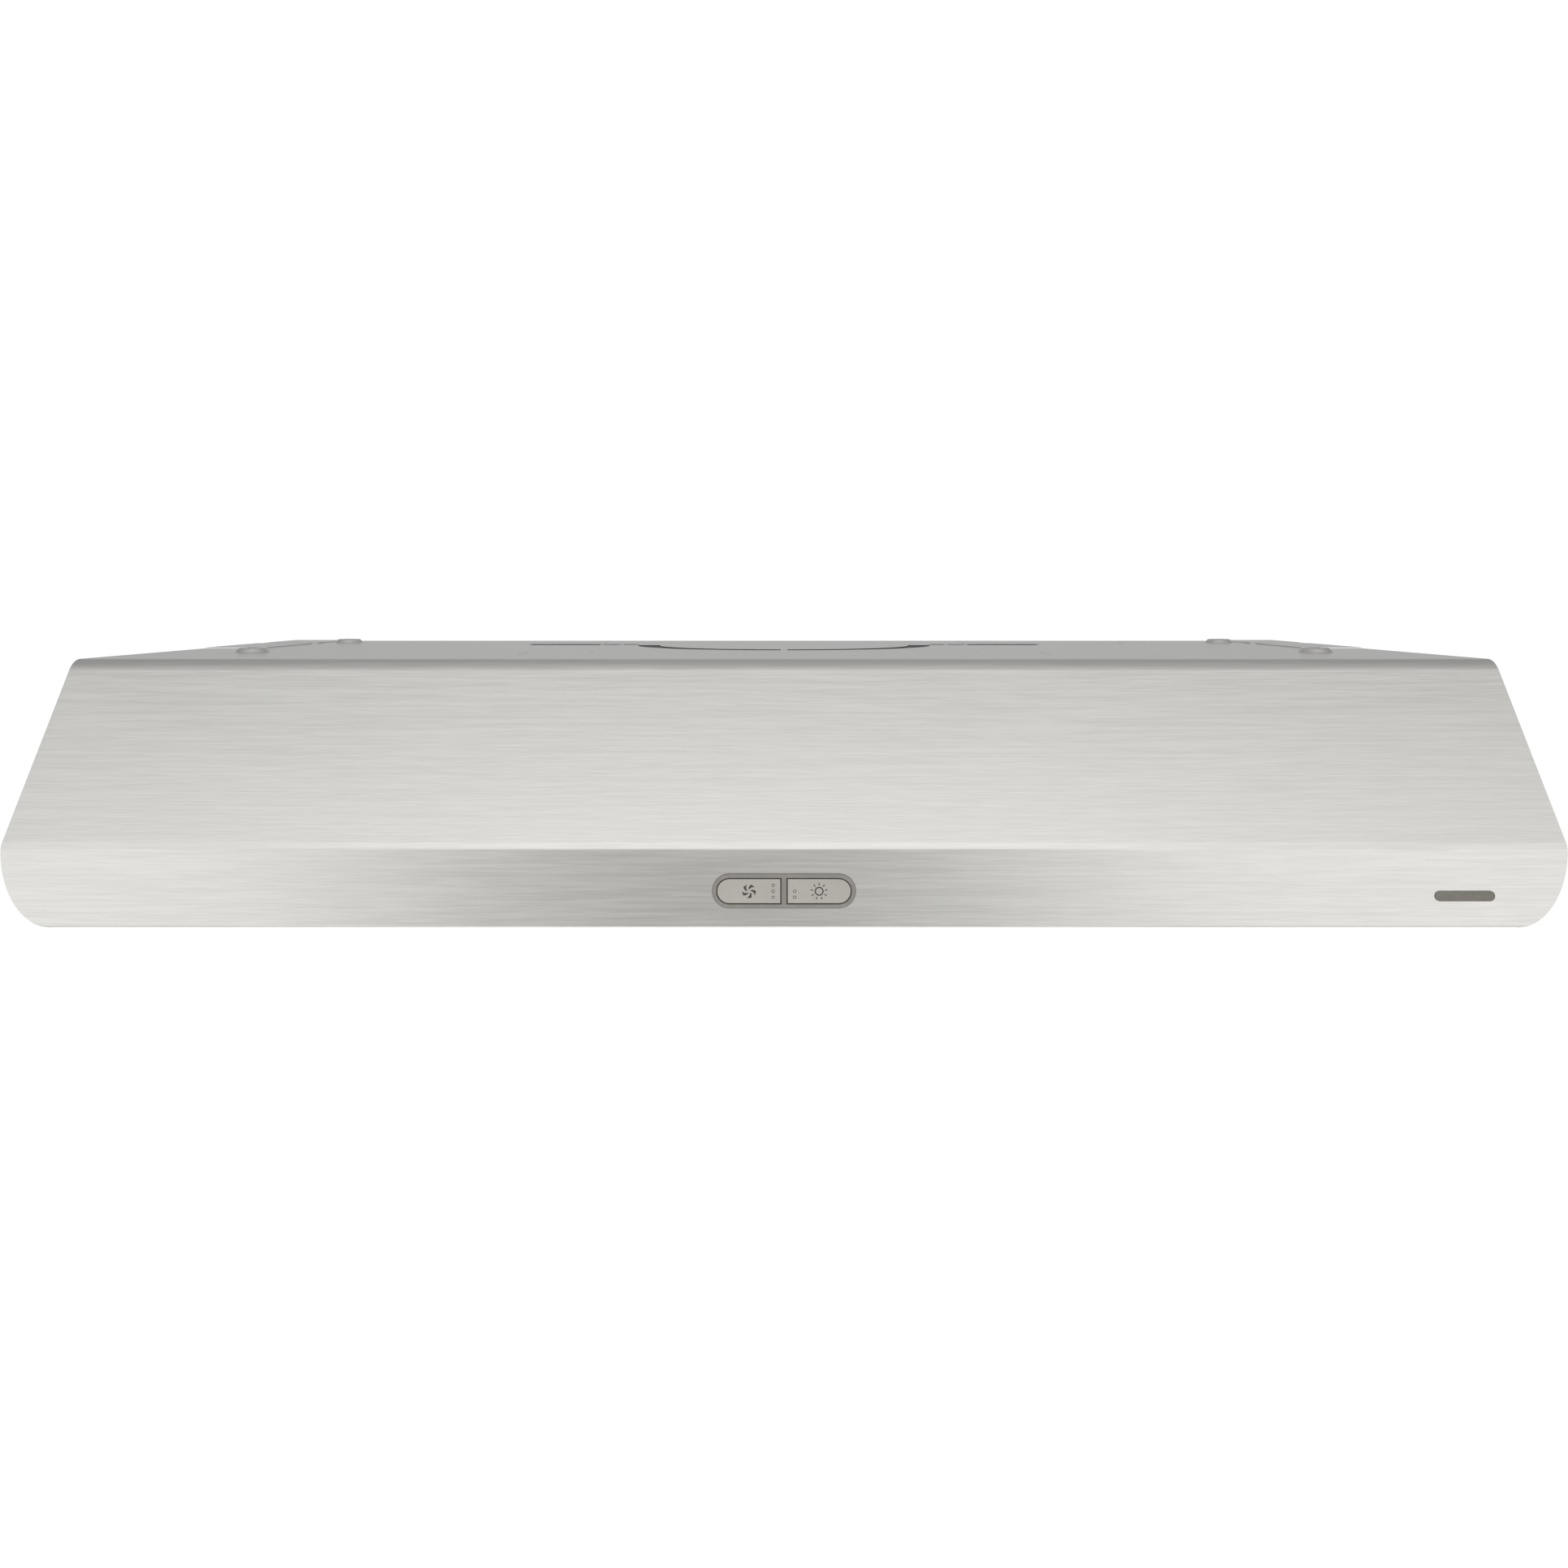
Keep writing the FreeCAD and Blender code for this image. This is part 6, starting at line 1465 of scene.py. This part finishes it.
@dataclass
class Studio:
    """Camera, pale floor and soft light all round."""

    camera_place: Triple = (0.0, -1.1768, 0.03496)
    lens: float = 33.04
    shift: float = -0.1173
    floor: float = -1.6
    floor_glow: float = 0.3
    band_turn: float = 0.045
    band: Pair = (0.05, 0.36)
    band_level: float = 0.52
    band_top: Pair = (0.05, 0.3)
    falloff: float = 0.14
    backdrop: float = 1.05
    levels: tuple[Pair, ...] = ((-180, 0.80), (-90, 0.90), (-30, 1.24), (0, 1.30), (62, 1.34), (68.5, 1.34),
                                (72, 1.12), (76, 0.88), (83, 0.78), (90, 0.72), (110, 0.58), (130, 0.50),
                                (150, 0.46), (168, 0.50), (180, 0.54))

    def build_camera(self) -> None:
        """Level camera in front of the hood."""
        data = bpy.data.cameras.new("camera")
        data.lens = self.lens
        data.sensor_width = 36.0
        data.shift_y = self.shift
        data.clip_start = 0.01
        camera = bpy.data.objects.new("camera", data)
        camera.location = self.camera_place
        camera.rotation_euler = (math.pi / 2, 0, 0)
        bpy.context.scene.collection.objects.link(camera)
        bpy.context.scene.camera = camera

    def build_floor(self) -> None:
        """Wide pale floor under the hood."""
        floor = solid("floor", [(-9000, -1200, self.floor / MM), (9000, -1200, self.floor / MM),
                                (9000, 12000, self.floor / MM), (-9000, 12000, self.floor / MM)], [(0, 1, 2, 3)])
        material = bpy.data.materials.new("pale_floor")
        material.use_nodes = True
        wiring = Wiring(material.node_tree)
        wiring.feed(material.node_tree.nodes["Principled BSDF"], Base_Color=(0.92, 0.92, 0.915, 1), Roughness=0.9,
                    Emission_Color=(1, 1, 1, 1), Emission_Strength=self.floor_glow)
        floor.data.materials.append(material)

    def build_light(self) -> None:
        """White surround for the camera, and a soft dome that is dimmer behind and overhead."""
        world = bpy.data.worlds.new("studio")
        bpy.context.scene.world = world
        world.use_nodes = True
        world.node_tree.nodes.clear()
        wiring = Wiring(world.node_tree)
        parts = wiring.add("ShaderNodeSeparateXYZ")
        wiring.feed(parts, _0=wiring.add("ShaderNodeTexCoord").outputs["Generated"])
        x, y, z = parts.outputs
        ahead = wiring.maths("MULTIPLY", y, -1.0)
        pitch = wiring.maths("ARCTAN2", z, ahead)
        ramp = wiring.add("ShaderNodeValToRGB")
        stops = ramp.color_ramp.elements
        while len(stops) > 1:
            stops.remove(stops[-1])
        for place, (angle, level) in enumerate(self.levels):
            stop = stops[0] if place == 0 else stops.new((angle + 180) / 360)
            stop.position = (angle + 180) / 360
            stop.color = (level, level, level, 1)
        share = wiring.maths("ADD", wiring.maths("DIVIDE", pitch, math.tau), 0.5)
        wiring.feed(ramp, _0=share)
        side = wiring.maths("ABSOLUTE", wiring.maths("ADD", wiring.maths("ARCTAN2", x, ahead), self.band_turn))
        flag = wiring.spread(side, *self.band, self.band_level, 1.0)
        above = wiring.spread(z, *self.band_top, 0.0, 1.0)
        shade = wiring.maths("MAXIMUM", flag, above)
        outer = wiring.spread(wiring.maths("ABSOLUTE", x), 0.1, 0.6, 0.0, self.falloff)
        kept = wiring.maths("SUBTRACT", 1.0, wiring.maths("MULTIPLY", outer, above))
        level = wiring.maths("MULTIPLY", wiring.maths("MULTIPLY", ramp.outputs[0], shade), kept)
        seen = wiring.feed(wiring.add("ShaderNodeMix", data_type="FLOAT"),
                           _0=wiring.add("ShaderNodeLightPath").outputs["Is Camera Ray"], _2=level,
                           _3=self.backdrop)
        back = wiring.feed(wiring.add("ShaderNodeBackground"), Color=(1, 1, 1, 1), Strength=seen.outputs[0])
        wiring.feed(wiring.add("ShaderNodeOutputWorld"), Surface=back.outputs[0])
        bpy.context.scene.view_settings.view_transform = "Standard"

    def build(self) -> None:
        """Set up the camera, the floor and the light."""
        self.build_camera()
        self.build_floor()
        self.build_light()


def main() -> None:
    """Build the studio and every sub-assembly."""
    logging.basicConfig(level=logging.INFO, format="%(message)s")
    for part in (Studio(), SheetBody(), Underside(), Controls(), Fixings(), InnerParts()):
        part.build()
        log.info("%s done", type(part).__name__)


if __name__ == "__main__":
    main()
